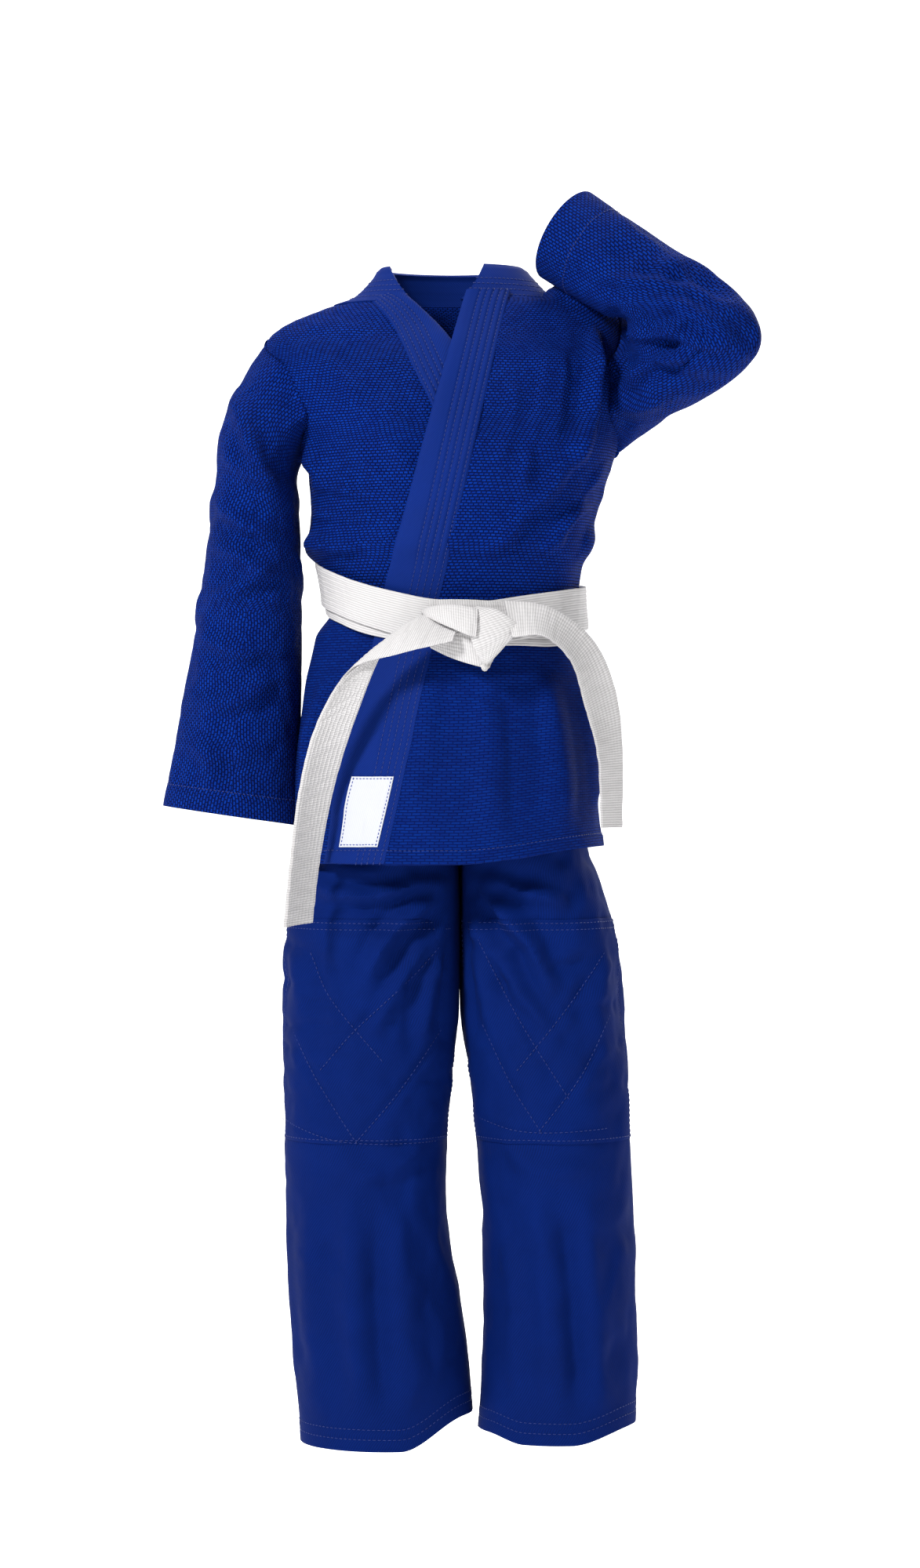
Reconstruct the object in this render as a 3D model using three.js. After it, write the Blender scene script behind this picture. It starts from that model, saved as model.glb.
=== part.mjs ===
// A child's judo uniform, standing open as if worn: jacket, trousers and tied belt.
// Millimetres, +Z up, the wearer faces -Y and +X is the wearer's left.
// Heights are measured up from the lowest trouser hem, and the outer group then moves
// the origin to the middle of the waist opening, where the wearer holds the uniform up.
import * as THREE from "three";

// ---- driving dimensions -------------------------------------------------------------

const jacketCloth = 3.0; // quilted rice-grain cotton with its seams
const trouserCloth = 2.4;
const liningCloth = 1.4;
const seamGap = 0.35; // clearance between two pieces that are sewn or lie together
const looseGap = 1.1; // clearance where one piece lies inside another without following its facets
const overlapLift = jacketCloth + looseGap + 0.2; // the left front lies on the right front

const hipFoldTop = 634; // where the trouser legs join the seat
const seatRise = 214; // from there up to the waist
const waistHeight = hipFoldTop + seatRise; // seam between upper jacket and skirt
const jacketRise = 312; // waist seam to the neck seam
const neckHeight = waistHeight + jacketRise;
const armholeTopDrop = 40; // the armhole's highest point below the neck seam
const armholeLength = 120;
const collarHeight = 32; // stand of the collar band above the neck seam
const skirtLength = 258; // waist seam to the hem
const skirtHem = waistHeight - skirtLength;
const skirtHemDepth = 13;
const ventTop = waistHeight - 58; // the side vents run from here down to the hem
const ventAngle = 84; // where a vent lies round the skirt, in degrees from the front
const ventStayHeight = 26;
const cuffDepth = 22;
const lapelThickness = 3.4;
const lapelWidth = 60; // what shows of the right lapel at the chest
const skirtLapelWidth = 58;

const beltWidth = 44;
const beltThickness = 3.0;
const outerWrapHeight = waistHeight - 21; // lower edge of the outer wrap
const innerWrapDrop = 6; // the inner wrap shows this much below the outer one
const knotThickness = 22;

const trouserWaist = waistHeight - 6; // lower edge of the waistband
const waistbandHeight = 34;
const elasticHeight = 28;
const elasticThickness = 1.6;
const waistEase = 1; // between the jacket and the waistband inside it
const gussetBottom = hipFoldTop - 40;
const gussetHeight = 34;
const gussetWidth = 6.6;
const gussetDepth = 120; // front to back between the legs
const thighTop = hipFoldTop - 78;
const kneeHeight = 350;
const kneeFoldHalf = 48; // cloth that folds above and below the knee
const kneePatchTop = kneeHeight + 185;
const kneePatchBottom = kneeHeight - 38;
const legHemDepth = 24;

const patchWidth = 43;
const patchHeight = 71;
const patchThickness = 1.0;
const patchSeat = 0.75; // clearance behind the middle of the patch, over the lapel's curve

// ---- colours ------------------------------------------------------------------------

const blueQuilt = { color: 0x10269a, roughness: 0.9, metalness: 0 };
const blueTwill = { color: 0x122488, roughness: 0.85, metalness: 0 };
const whiteCotton = { color: 0xeeecea, roughness: 0.85, metalness: 0 };
const greyElastic = { color: 0xb9bcc4, roughness: 0.8, metalness: 0 };

// ---- tools --------------------------------------------------------------------------

const vector = (x, y, z) => new THREE.Vector3(x, y, z);
const radians = (degrees) => (degrees * Math.PI) / 180;
const mix = THREE.MathUtils.lerp;
const smooth = THREE.MathUtils.smoothstep;

// A tube of cloth through elliptical rings. Each ring has a centre, a half-width vector
// and a half-depth vector. Angle 0 is at the end of the depth vector, 90 at the width's.
function ringSurface(rings) {
  const through = (key) =>
    new THREE.CatmullRomCurve3(rings.map((ring) => vector(...ring[key])), false, "catmullrom", 0.5);
  const centre = through("centre");
  const width = through("width");
  const depth = through("depth");
  const skin = (angle, along) => {
    const v = THREE.MathUtils.clamp(along, 0, 1);
    return centre
      .getPoint(v)
      .addScaledVector(width.getPoint(v), Math.sin(radians(angle)))
      .addScaledVector(depth.getPoint(v), Math.cos(radians(angle)));
  };
  const at = (angle, along, lift = 0) => {
    const small = 0.002;
    const low = Math.max(along - small, 0);
    const high = Math.min(along + small, 1);
    const round = skin(angle + 0.5, along).sub(skin(angle - 0.5, along));
    const up = skin(angle, high).sub(skin(angle, low));
    const normal = round.cross(up).normalize();
    if (normal.dot(skin(angle, along).sub(centre.getPoint(along))) < 0) normal.negate();
    return skin(angle, along).addScaledVector(normal, lift);
  };
  const length = centre.getLength();
  // The position along the tube at which its centre line is at a height.
  const atHeight = (height) => {
    let low = 0;
    let high = 1;
    const rising = centre.getPoint(1).z > centre.getPoint(0).z;
    for (let i = 0; i < 40; i++) {
      const middle = (low + high) / 2;
      if (centre.getPoint(middle).z < height === rising) low = middle;
      else high = middle;
    }
    return (low + high) / 2;
  };
  // The angle on the front at which the tube is at x, at a height.
  const angleAt = (x, height) => {
    const v = atHeight(height);
    const share = (x - centre.getPoint(v).x) / width.getPoint(v).x;
    return (Math.asin(THREE.MathUtils.clamp(share, -0.98, 0.98)) * 180) / Math.PI;
  };
  return { at, atHeight, angleAt, length };
}

// An upright ring: centre x and y, height, half width and half depth.
const upright = (x, y, height, halfWidth, halfDepth) => ({
  centre: [x, y, height],
  width: [halfWidth, 0, 0],
  depth: [0, -halfDepth, 0],
});

// One closed body of cloth from a point function of (across, along, lift), each share 0 to 1.
function clothSolid(point, { across, along, outer, thickness, around = false }) {
  const columns = around ? across : across + 1;
  const positions = [];
  for (const side of [0, 1])
    for (let j = 0; j <= along; j++)
      for (let i = 0; i < columns; i++) {
        const [u, v] = [i / across, j / along];
        const lift = (typeof outer === "function" ? outer(u, v) : outer) - side * thickness;
        positions.push(...point(u, v, lift).toArray());
      }
  const layer = columns * (along + 1);
  const index = (side, i, j) => side * layer + j * columns + (i % columns);
  const faces = [];
  const quad = (a, b, c, d) => faces.push(a, b, c, a, c, d);
  for (let j = 0; j < along; j++)
    for (let i = 0; i < across; i++) {
      quad(index(0, i, j), index(0, i + 1, j), index(0, i + 1, j + 1), index(0, i, j + 1));
      quad(index(1, i, j), index(1, i, j + 1), index(1, i + 1, j + 1), index(1, i + 1, j));
    }
  for (let i = 0; i < across; i++) {
    quad(index(1, i, 0), index(1, i + 1, 0), index(0, i + 1, 0), index(0, i, 0));
    quad(index(0, i, along), index(0, i + 1, along), index(1, i + 1, along), index(1, i, along));
  }
  for (let j = 0; j < along && !around; j++) {
    quad(index(0, 0, j), index(0, 0, j + 1), index(1, 0, j + 1), index(1, 0, j));
    quad(index(1, across, j), index(1, across, j + 1), index(0, across, j + 1), index(0, across, j));
  }
  const geometry = new THREE.BufferGeometry();
  geometry.setAttribute("position", new THREE.Float32BufferAttribute(positions, 3));
  geometry.setIndex(signedVolume(positions, faces) < 0 ? faces.reverse() : faces);
  geometry.computeVertexNormals();
  return geometry;
}

function signedVolume(positions, faces) {
  const corner = (k) => vector(...positions.slice(3 * k, 3 * k + 3));
  let sum = 0;
  for (let f = 0; f < faces.length; f += 3)
    sum += corner(faces[f]).dot(corner(faces[f + 1]).cross(corner(faces[f + 2])));
  return sum;
}

// A panel of a tube between two heights, with its side edges given as angles.
function panel(surface, { bottom, top, left, right, outer = 0, thickness, across = 8, along = 6 }) {
  const edge = (value, height) => (typeof value === "function" ? value(height) : value);
  return clothSolid(
    (u, v, lift) => {
      const height = mix(bottom, top, v);
      const angle = mix(edge(left, height), edge(right, height), u);
      return surface.at(angle, surface.atHeight(height), lift);
    },
    {
      across,
      along,
      thickness,
      outer: (u, v) => {
        const height = mix(bottom, top, v);
        const angle = mix(edge(left, height), edge(right, height), u);
        return typeof outer === "function" ? outer(angle) : outer;
      },
    },
  );
}

// A whole length of tube between two shares of its length.
const sleeveTube = (surface, { from, to, outer = 0, thickness, across = 16, along = 5 }) =>
  clothSolid((u, v, lift) => surface.at(360 * u, mix(from, to, v), lift), {
    across,
    along,
    outer,
    thickness,
    around: true,
  });

const uprightTube = (surface, { bottom, top, ...rest }) =>
  sleeveTube(surface, { from: surface.atHeight(bottom), to: surface.atHeight(top), ...rest });

const model = new THREE.Group();
function add(name, geometry, finish, parent = model) {
  const mesh = new THREE.Mesh(geometry, new THREE.MeshStandardMaterial(finish));
  mesh.name = name;
  parent.add(mesh);
  return mesh;
}

// ---- jacket body --------------------------------------------------------------------

const rise = (share) => mix(waistHeight, neckHeight, share);
const bodySurface = ringSurface([
  upright(-8, 0, waistHeight - 48, 129, 101),
  upright(-8, 0, waistHeight, 124, 95),
  upright(-13, 0, rise(0.183), 137, 106),
  upright(-6, 0, rise(0.385), 149, 114),
  upright(-2, 0, rise(0.526), 159, 113),
  upright(-10, 2, rise(0.679), 174, 103),
  upright(-18, 4, rise(0.801), 182, 87),
  upright(-20, 6, rise(0.885), 172, 73),
  upright(-14, 8, rise(0.946), 142, 64),
  upright(-10, 10, neckHeight, 98, 58),
  upright(-10, 12, neckHeight + 24, 74, 52),
]);

// Front and back meet at the side seam and at the shoulder seam, and the armhole lies between.
const sideSeam = 89.9;
const armholeOpening = 27;
const armholeTop = neckHeight - armholeTopDrop;
const armholeBottom = armholeTop - armholeLength;
const frontSide = (height) =>
  sideSeam -
  armholeOpening *
    smooth(height, armholeBottom, armholeBottom + 0.35 * armholeLength) *
    (1 - smooth(height, armholeTop - 0.28 * armholeLength, armholeTop));
const backSide = (height) => 180 - frontSide(height);

// Edges of the lapels on the front, as x at a height.
const leftLapelInner = (height) => mix(-80, 3, (height - waistHeight) / jacketRise);
const leftLapelOuter = (height) => mix(-24, 46, (height - waistHeight) / jacketRise);
const rightLapelEdge = new THREE.CatmullRomCurve3([
  vector(64, 0, waistHeight),
  vector(52, 0, rise(0.295)),
  vector(30, 0, rise(0.615)),
  vector(-17, 0, rise(0.862)),
  vector(-58, 0, neckHeight),
]);
function rightLapelInner(height) {
  let low = 0;
  let high = 1;
  for (let i = 0; i < 30; i++) {
    const middle = (low + high) / 2;
    if (rightLapelEdge.getPoint(middle).z < height) low = middle;
    else high = middle;
  }
  return rightLapelEdge.getPoint(low).x;
}
const rightLapelOuter = (height) =>
  rightLapelInner(height) - lapelWidth * mix(1, 0.68, smooth(height, rise(0.68), neckHeight));

const edgeGap = 0.15; // degrees taken off each sewn edge
const onBody = (edge, shift = 0) => (height) => bodySurface.angleAt(edge(height), height) + shift;
// The left side's cloth rises over the right side's, and comes back to it at the side seam.
const frontLift = (angle) => overlapLift * (1 - smooth(angle, 48, 78));

const jacketRows = 18; // rows of facets between waist and neck, shared by all its layers
const upperJacket = {
  bottom: waistHeight + seamGap,
  top: neckHeight,
  thickness: jacketCloth,
  along: jacketRows,
};
add(
  "jacket_back",
  panel(bodySurface, {
    ...upperJacket,
    left: (height) => backSide(height) + edgeGap,
    right: (height) => 360 - backSide(height) - edgeGap,
    across: 14,
  }),
  blueQuilt,
);
add(
  "jacket_front_left",
  panel(bodySurface, {
    ...upperJacket,
    left: onBody(leftLapelOuter, edgeGap),
    right: (height) => frontSide(height) - edgeGap,
    outer: frontLift,
  }),
  blueQuilt,
);
add(
  "jacket_front_right",
  panel(bodySurface, {
    ...upperJacket,
    left: (height) => edgeGap - frontSide(height),
    right: onBody(rightLapelOuter, -edgeGap),
  }),
  blueQuilt,
);

// Inner lining over the shoulders and upper chest, one side to each front.
const jacketRow = (row) => mix(upperJacket.bottom, upperJacket.top, row / jacketRows);
const liningRows = [7, 16];
const lining = {
  bottom: jacketRow(liningRows[0]),
  top: jacketRow(liningRows[1]),
  along: liningRows[1] - liningRows[0],
  outer: -jacketCloth - seamGap,
  thickness: liningCloth,
};
add(
  "shoulder_lining_left",
  panel(bodySurface, {
    ...lining,
    left: onBody((height) => Math.max(rightLapelInner(height), leftLapelOuter(height)), 6),
    right: (height) => frontSide(height) - 2,
    outer: (angle) => frontLift(angle) - jacketCloth - looseGap - 0.5,
  }),
  blueTwill,
);
add(
  "shoulder_lining_right",
  panel(bodySurface, {
    ...lining,
    left: (height) => edgeGap - frontSide(height),
    right: onBody(rightLapelOuter, -edgeGap),
  }),
  blueTwill,
);
add(
  "shoulder_lining_back",
  panel(bodySurface, {
    ...lining,
    left: (height) => backSide(height) + edgeGap,
    right: (height) => 360 - backSide(height) - edgeGap,
    across: 14,
  }),
  blueTwill,
);

const lapel = { ...upperJacket, thickness: lapelThickness, across: 4 };
add(
  "lapel_left",
  panel(bodySurface, {
    ...lapel,
    left: onBody(leftLapelInner),
    right: onBody(leftLapelOuter, -edgeGap),
    outer: overlapLift + lapelThickness - jacketCloth,
  }),
  blueTwill,
);
add(
  "lapel_right",
  panel(bodySurface, {
    ...lapel,
    left: onBody(rightLapelOuter, edgeGap),
    right: onBody(rightLapelInner),
    thickness: jacketCloth,
  }),
  blueTwill,
);

// The collar band stands round the back of the neck, between the tops of the lapels.
const collarSurface = ringSurface([
  upright(-10, 10, neckHeight, 98, 58),
  upright(-10, 13, neckHeight + 18, 80, 51),
  upright(-11, 16, neckHeight + collarHeight, 73, 47),
]);
const collarBottom = neckHeight + seamGap + 0.3;
add(
  "collar_band",
  panel(collarSurface, {
    bottom: collarBottom,
    top: neckHeight + collarHeight,
    left: (height) => mix(12, 26, (height - neckHeight) / collarHeight),
    right: (height) => mix(330, 300, (height - neckHeight) / collarHeight),
    outer: 0.4,
    thickness: lapelThickness,
    across: 24,
    along: 3,
  }),
  blueTwill,
);

// ---- skirt of the jacket ------------------------------------------------------------

// Below the hips the skirt flares evenly down to its hem, however long it is, and the
// spreading legs push it out further below the crotch.
const hipDrop = 183;
const crotchDrop = 258;
const legSpread = 0.004;
function flared(below) {
  const spread = legSpread * Math.max(below - crotchDrop, 0) ** 2;
  const halfWidth = 149 + 0.0933 * (below - hipDrop) + spread;
  return upright(-14, 0, waistHeight - below, halfWidth, 119 + 0.1333 * (below - hipDrop) + spread);
}
const skirtSurface = ringSurface([
  flared(skirtLength + 30),
  flared(skirtLength),
  upright(-13, 0, waistHeight - hipDrop, 149, 119),
  upright(-11, 0, waistHeight - 98, 141, 109),
  upright(-9, 0, waistHeight - 33, 130, 101),
  upright(-8, 0, waistHeight, 124, 95),
  upright(-9, 0, waistHeight + 22, 127, 99),
]);
const onSkirt = (edge) => (height) => skirtSurface.angleAt(edge(height), height);
const skirtLeftEdge = (height) => mix(-133, -78, (height - skirtHem) / skirtLength);
const skirtLapelOuter = (height) => skirtLeftEdge(height) + skirtLapelWidth;
const skirtTop = waistHeight - seamGap;
const skirtLift = (angle) => overlapLift * (1 - smooth(angle, 46, 80));
const hemTop = skirtHem + skirtHemDepth;

const skirtPiece = { bottom: skirtHem, top: skirtTop, thickness: jacketCloth };
add(
  "skirt_front_left",
  panel(skirtSurface, {
    ...skirtPiece,
    left: (height) => onSkirt(skirtLapelOuter)(height) + edgeGap,
    right: ventAngle,
    outer: skirtLift,
    across: 10,
    along: 7,
  }),
  blueQuilt,
);
add(
  "skirt_lapel_left",
  panel(skirtSurface, {
    ...skirtPiece,
    left: onSkirt(skirtLeftEdge),
    right: (height) => onSkirt(skirtLapelOuter)(height) - edgeGap,
    outer: overlapLift,
    across: 4,
    along: 7,
  }),
  blueTwill,
);
add(
  "skirt_front_right",
  panel(skirtSurface, {
    ...skirtPiece,
    left: -ventAngle,
    right: (height) => mix(12, 26, (height - skirtHem) / skirtLength),
    across: 9,
    along: 7,
  }),
  blueQuilt,
);
// The back of the skirt swings free below the vents; above them it is sewn to the fronts.
const skirtBack = { ...skirtPiece, left: 180 - ventAngle, right: 180 + ventAngle, across: 14 };
add(
  "skirt_back",
  panel(skirtSurface, { ...skirtBack, top: ventTop - seamGap, along: 6 }),
  blueQuilt,
);
add("skirt_back_top", panel(skirtSurface, { ...skirtBack, bottom: ventTop, along: 2 }), blueQuilt);

// Turned-up hems lie inside the lower edge of each skirt piece.
const skirtHemTape = {
  bottom: skirtHem + 0.8,
  top: hemTop,
  outer: -jacketCloth - looseGap,
  thickness: liningCloth,
  along: 1,
};
add(
  "skirt_hem_left",
  panel(skirtSurface, {
    ...skirtHemTape,
    left: 34,
    right: ventAngle - 1,
    outer: (angle) => skirtLift(angle) - jacketCloth - looseGap,
    across: 6,
  }),
  blueQuilt,
);
add(
  "skirt_hem_right",
  panel(skirtSurface, { ...skirtHemTape, left: 1 - ventAngle, right: 10 }),
  blueQuilt,
);
add(
  "skirt_hem_back",
  panel(skirtSurface, {
    ...skirtHemTape,
    left: 181 - ventAngle,
    right: 179 + ventAngle,
    across: 14,
  }),
  blueQuilt,
);

// Small stays sewn inside the skirt above each side vent, under the belt.
const stayHalfAngle = 12;
for (const [side, middle] of [
  ["left", 90],
  ["right", -90],
])
  add(
    "vent_stay_" + side,
    panel(skirtSurface, {
      bottom: ventTop + 2,
      top: ventTop + 2 + ventStayHeight,
      left: middle - stayHalfAngle,
      right: middle + stayHalfAngle,
      outer: -jacketCloth - looseGap - seamGap,
      thickness: liningCloth,
      across: 4,
      along: 1,
    }),
    blueTwill,
  );

// A plain woven patch on the lower end of the left lapel.
const patchHeightMiddle = skirtHem + 51;
const patchAngle = skirtSurface.angleAt(-94, patchHeightMiddle);
const patchShare = skirtSurface.atHeight(patchHeightMiddle);
const patchFace = skirtSurface.at(patchAngle, patchShare, overlapLift);
const patchOut = skirtSurface.at(patchAngle, patchShare, overlapLift + 1).sub(patchFace);
const patchPlace = new THREE.Group();
patchPlace.position.copy(patchFace).addScaledVector(patchOut, patchSeat + patchThickness / 2);
patchPlace.quaternion.setFromUnitVectors(vector(0, -1, 0), patchOut);
add(
  "woven_patch",
  new THREE.BoxGeometry(patchWidth, patchThickness, patchHeight),
  whiteCotton,
  patchPlace,
);
model.add(patchPlace);

// ---- sleeves ------------------------------------------------------------------------

const armholeMiddle = (armholeTop + armholeBottom) / 2;
const rightSleeve = ringSurface([
  { centre: [-176, 3, armholeMiddle + 4], width: [-24, 0, 52], depth: [0, -66, 0] },
  { centre: [-205, 3, armholeMiddle - 44], width: [-37, 0, 32], depth: [0, -66, 0] },
  { centre: [-208, 3, armholeMiddle - 98], width: [-43, 0, 10], depth: [0, -68, 0] },
  { centre: [-212, 4, armholeMiddle - 170], width: [-49, 0, 6], depth: [0, -63, 0] },
  { centre: [-219, 3, armholeMiddle - 260], width: [-56, 0, 4], depth: [0, -55, 0] },
  { centre: [-227, 1, armholeMiddle - 345], width: [-63, 0, 6], depth: [0, -48, 0] },
  { centre: [-233, 0, armholeMiddle - 423], width: [-69, 0, 10], depth: [0, -42, 0] },
]);
// The raised arm: out and forward to the elbow, then back and up beside the head.
const leftSleeve = ringSurface([
  { centre: [161, 3, armholeMiddle + 14], width: [-4, 0, 60], depth: [0, -66, 0] },
  { centre: [189, -22, armholeMiddle + 19], width: [-13, 6, 45], depth: [-20, -52, -8] },
  { centre: [219, -58, armholeMiddle + 37], width: [-44, 28, 30], depth: [-30, -36, -14] },
  { centre: [229, -77, armholeMiddle + 56], width: [-57, 42, 16], depth: [-30, -33, -16] },
  { centre: [215, -78, armholeMiddle + 83], width: [-46, 42, -2], depth: [-30, -33, -16] },
  { centre: [164, -52, armholeMiddle + 117], width: [-14, 27, -34], depth: [-30, -33, -16] },
  { centre: [104, -20, armholeMiddle + 161], width: [-12, 26, -38], depth: [-28, -31, -15] },
]);
const sleeveCloth = { thickness: jacketCloth };

// The sleeve head joins the edge of the armhole to the first ring of the sleeve.
const shoulderPointGap = 9; // the head starts this much below the point of the armhole
// start is the share of the head's length that leaves the armhole seam clear.
function sleeveHead(surface, sign, start, end) {
  const edge = (angle, lift) => {
    const up = (1 + Math.sin(radians(angle))) / 2;
    const height = mix(armholeBottom, armholeTop - shoulderPointGap, up);
    const seam = Math.cos(radians(angle)) >= 0 ? frontSide(height) : backSide(height);
    return bodySurface.at(sign * seam, bodySurface.atHeight(height), lift);
  };
  return clothSolid(
    (u, v, lift) => edge(360 * u, lift).lerp(surface.at(360 * u, end, lift), mix(start, 1, v)),
    { across: 16, along: 4, outer: 0, thickness: jacketCloth, around: true },
  );
}

// Shares of each sleeve's length at which the head, the upper sleeve and the elbow zone end,
// and the clearance between these pieces, wider where the raised sleeve bends.
const sleeves = {
  right: { surface: rightSleeve, sign: -1, ends: [0.25, 0.45, 0.62], start: 0.06, gap: 0.28 * jacketCloth },
  left: { surface: leftSleeve, sign: 1, ends: [0.165, 0.33, 0.66], start: 0.08, gap: 0.8 * jacketCloth },
};
for (const [side, { surface, sign, ends, start, gap: clearance }] of Object.entries(sleeves)) {
  const gap = clearance / surface.length;
  const piece = (name, from, to, along) =>
    add(name, sleeveTube(surface, { from, to, along, ...sleeveCloth }), blueQuilt);
  add("sleeve_head_" + side, sleeveHead(surface, sign, start, ends[0]), blueQuilt);
  piece("sleeve_" + side + "_upper", ends[0] + gap, ends[1], 3);
  piece("sleeve_" + side + "_elbow", ends[1] + gap, ends[2], 5);
  piece("sleeve_" + side + "_lower", ends[2] + gap, 1, 5);
  add(
    "cuff_" + side,
    sleeveTube(surface, {
      from: 1 - cuffDepth / surface.length,
      to: 0.998,
      outer: -jacketCloth - 2 * seamGap,
      thickness: liningCloth,
      along: 1,
    }),
    blueQuilt,
  );
}

// ---- belt ---------------------------------------------------------------------------

const wrapLift = overlapLift + lapelThickness - jacketCloth + 0.6;
const skirtToBody = ringSurface([
  upright(-9, 0, waistHeight - 48, 132, 103),
  upright(-9, 0, waistHeight - 33, 130, 101),
  upright(-8.5, 0, waistHeight - 16, 128, 99),
  upright(-9, 0, waistHeight + 2, 127, 98),
  upright(-10, 0, waistHeight + 20, 130, 100),
  upright(-12, 0, waistHeight + 37, 135, 104),
]);
const wrap = (bottom, lift) =>
  uprightTube(skirtToBody, {
    bottom,
    top: bottom + beltWidth,
    outer: lift + beltThickness,
    thickness: beltThickness,
    across: 28,
    along: 4,
  });
add("belt_inner_wrap", wrap(outerWrapHeight - innerWrapDrop, wrapLift), whiteCotton);
const outerLift = wrapLift + beltThickness + looseGap;
add("belt_outer_wrap", wrap(outerWrapHeight, outerLift), whiteCotton);

// The knot's outline, from the middle of the lower edge of the outer wrap.
const knotOutline = [
  [-30, 15],
  [-10, 29],
  [34, 27],
  [50, 11],
  [40, -21],
  [22, -39],
  [-20, -15],
];
const knotGap = 1.2; // from the belt's facets to the back of the knot
const beltFront = skirtToBody.at(4, skirtToBody.atHeight(outerWrapHeight), outerLift).y - beltThickness;
const knotBack = beltFront - knotGap;
const knotFront = knotBack - knotThickness;
const knot = new THREE.ExtrudeGeometry(
  new THREE.Shape(knotOutline.map(([x, up]) => new THREE.Vector2(x, outerWrapHeight + up))),
  { depth: knotThickness, bevelEnabled: false },
);
knot.deleteAttribute("normal");
knot.deleteAttribute("uv");
knot.rotateX(Math.PI / 2);
knot.translate(0, knotBack, 0);
add("belt_knot", knot, whiteCotton);

// A flat strap along a path. Each station has a place and the half-width vector there.
function strap(stations, along) {
  const path = new THREE.CatmullRomCurve3(stations.map((s) => vector(...s.place)));
  const half = new THREE.CatmullRomCurve3(stations.map((s) => vector(...s.half)));
  return clothSolid(
    (u, v, lift) => {
      const across = half.getPoint(v).normalize();
      const face = across.clone().cross(path.getTangent(v)).normalize();
      return path
        .getPoint(v)
        .addScaledVector(across, (2 * u - 1) * (beltWidth / 2 - 1))
        .addScaledVector(face, lift);
    },
    { across: 1, along, outer: beltThickness / 2, thickness: beltThickness },
  );
}
const tailStart = knotFront - beltThickness / 2 - 2 * seamGap;
add(
  "belt_tail_right",
  strap(
    [
      { place: [-16, tailStart, outerWrapHeight + 4], half: [0.2, 0, 1] },
      { place: [-52, tailStart - 4, outerWrapHeight - 3], half: [0.35, 0, 1] },
      { place: [-92, tailStart - 2, outerWrapHeight - 35], half: [0.85, 0.1, 0.6] },
      { place: [-122, tailStart + 6, outerWrapHeight - 92], half: [1, 0.25, 0.3] },
      { place: [-142, tailStart + 16, outerWrapHeight - 159], half: [1, 0.7, 0.2] },
      { place: [-154, tailStart + 22, outerWrapHeight - 232], half: [0.9, 1, 0.15] },
      { place: [-161, tailStart + 26, outerWrapHeight - 296], half: [0.8, 1, 0.12] },
    ],
    16,
  ),
  whiteCotton,
);
add(
  "belt_tail_left",
  strap(
    [
      { place: [44, tailStart, outerWrapHeight + 2], half: [-0.2, 0, 1] },
      { place: [82, tailStart + 4, outerWrapHeight - 6], half: [0.15, 0, 1] },
      { place: [114, tailStart + 18, outerWrapHeight - 31], half: [0.75, 0.35, 0.75] },
      { place: [136, tailStart + 34, outerWrapHeight - 71], half: [0.9, 0.6, 0.4] },
      { place: [148, tailStart + 44, outerWrapHeight - 127], half: [0.8, 0.8, 0.1] },
      { place: [150, tailStart + 50, outerWrapHeight - 199], half: [0.75, 0.8, 0] },
    ],
    14,
  ),
  whiteCotton,
);

// ---- trousers -----------------------------------------------------------------------

const waistInset = jacketCloth + waistEase;
const hip = (share) => mix(hipFoldTop, trouserWaist, share);
const hipSurface = ringSurface([
  upright(-12, 0, hipFoldTop - 49, 158, 98),
  upright(-12, 0, hipFoldTop, 136, 101),
  upright(-10, 0, hip(0.413), 126, 95),
  upright(-8, 0, hip(0.798), 117, 88),
  upright(-8, 0, trouserWaist, 124 - waistInset, 95 - waistInset),
  upright(-8, 0, trouserWaist + waistbandHeight + 4, 125 - waistInset, 96 - waistInset),
]);
add(
  "waistband",
  uprightTube(hipSurface, {
    bottom: trouserWaist,
    top: trouserWaist + waistbandHeight,
    thickness: trouserCloth,
    across: 24,
    along: 1,
  }),
  blueTwill,
);
const elasticBottom = trouserWaist + (waistbandHeight - elasticHeight) / 2;
add(
  "waist_elastic",
  uprightTube(hipSurface, {
    bottom: elasticBottom,
    top: elasticBottom + elasticHeight,
    outer: -trouserCloth - seamGap,
    thickness: elasticThickness,
    across: 24,
    along: 1,
  }),
  greyElastic,
);
const seat = {
  bottom: hipFoldTop + seamGap,
  top: trouserWaist - seamGap,
  thickness: trouserCloth,
  along: 4,
};
const seatPieces = { seat_front_right: [-89.8, -0.1], seat_front_left: [0.1, 89.8] };
for (const [name, [left, right]] of Object.entries(seatPieces))
  add(name, panel(hipSurface, { ...seat, left, right }), blueTwill);
add("seat_back", panel(hipSurface, { ...seat, left: 90.2, right: 269.8, across: 14 }), blueTwill);

const leg = (share) => share * hipFoldTop;
const legs = {
  right: ringSurface([
    upright(-77, 2, 4, 87, 77),
    upright(-81, 2, leg(0.095), 87, 77),
    upright(-89, 1, leg(0.237), 85, 77),
    upright(-98, 0, leg(0.41), 81, 79),
    upright(-95, 0, leg(0.631), 86, 83),
    upright(-91, 0, hipFoldTop - 114, 86, 89),
    upright(-82, 0, hipFoldTop - 34, 73, 88),
    upright(-76, 0, hipFoldTop, 66, 90),
  ]),
  left: ringSurface([
    upright(95, 2, 10, 80, 77),
    upright(97, 2, leg(0.095), 79, 77),
    upright(97, 1, leg(0.237), 77, 77),
    upright(94, 0, leg(0.41), 77, 79),
    upright(84, 0, leg(0.631), 80, 83),
    upright(76, 0, hipFoldTop - 114, 77, 89),
    upright(63, 0, hipFoldTop - 34, 65, 88),
    upright(58, 0, hipFoldTop, 60, 90),
  ]),
};
const legBottom = { right: 6, left: 12 };
const legCloth = { thickness: trouserCloth, across: 18 };
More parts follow.
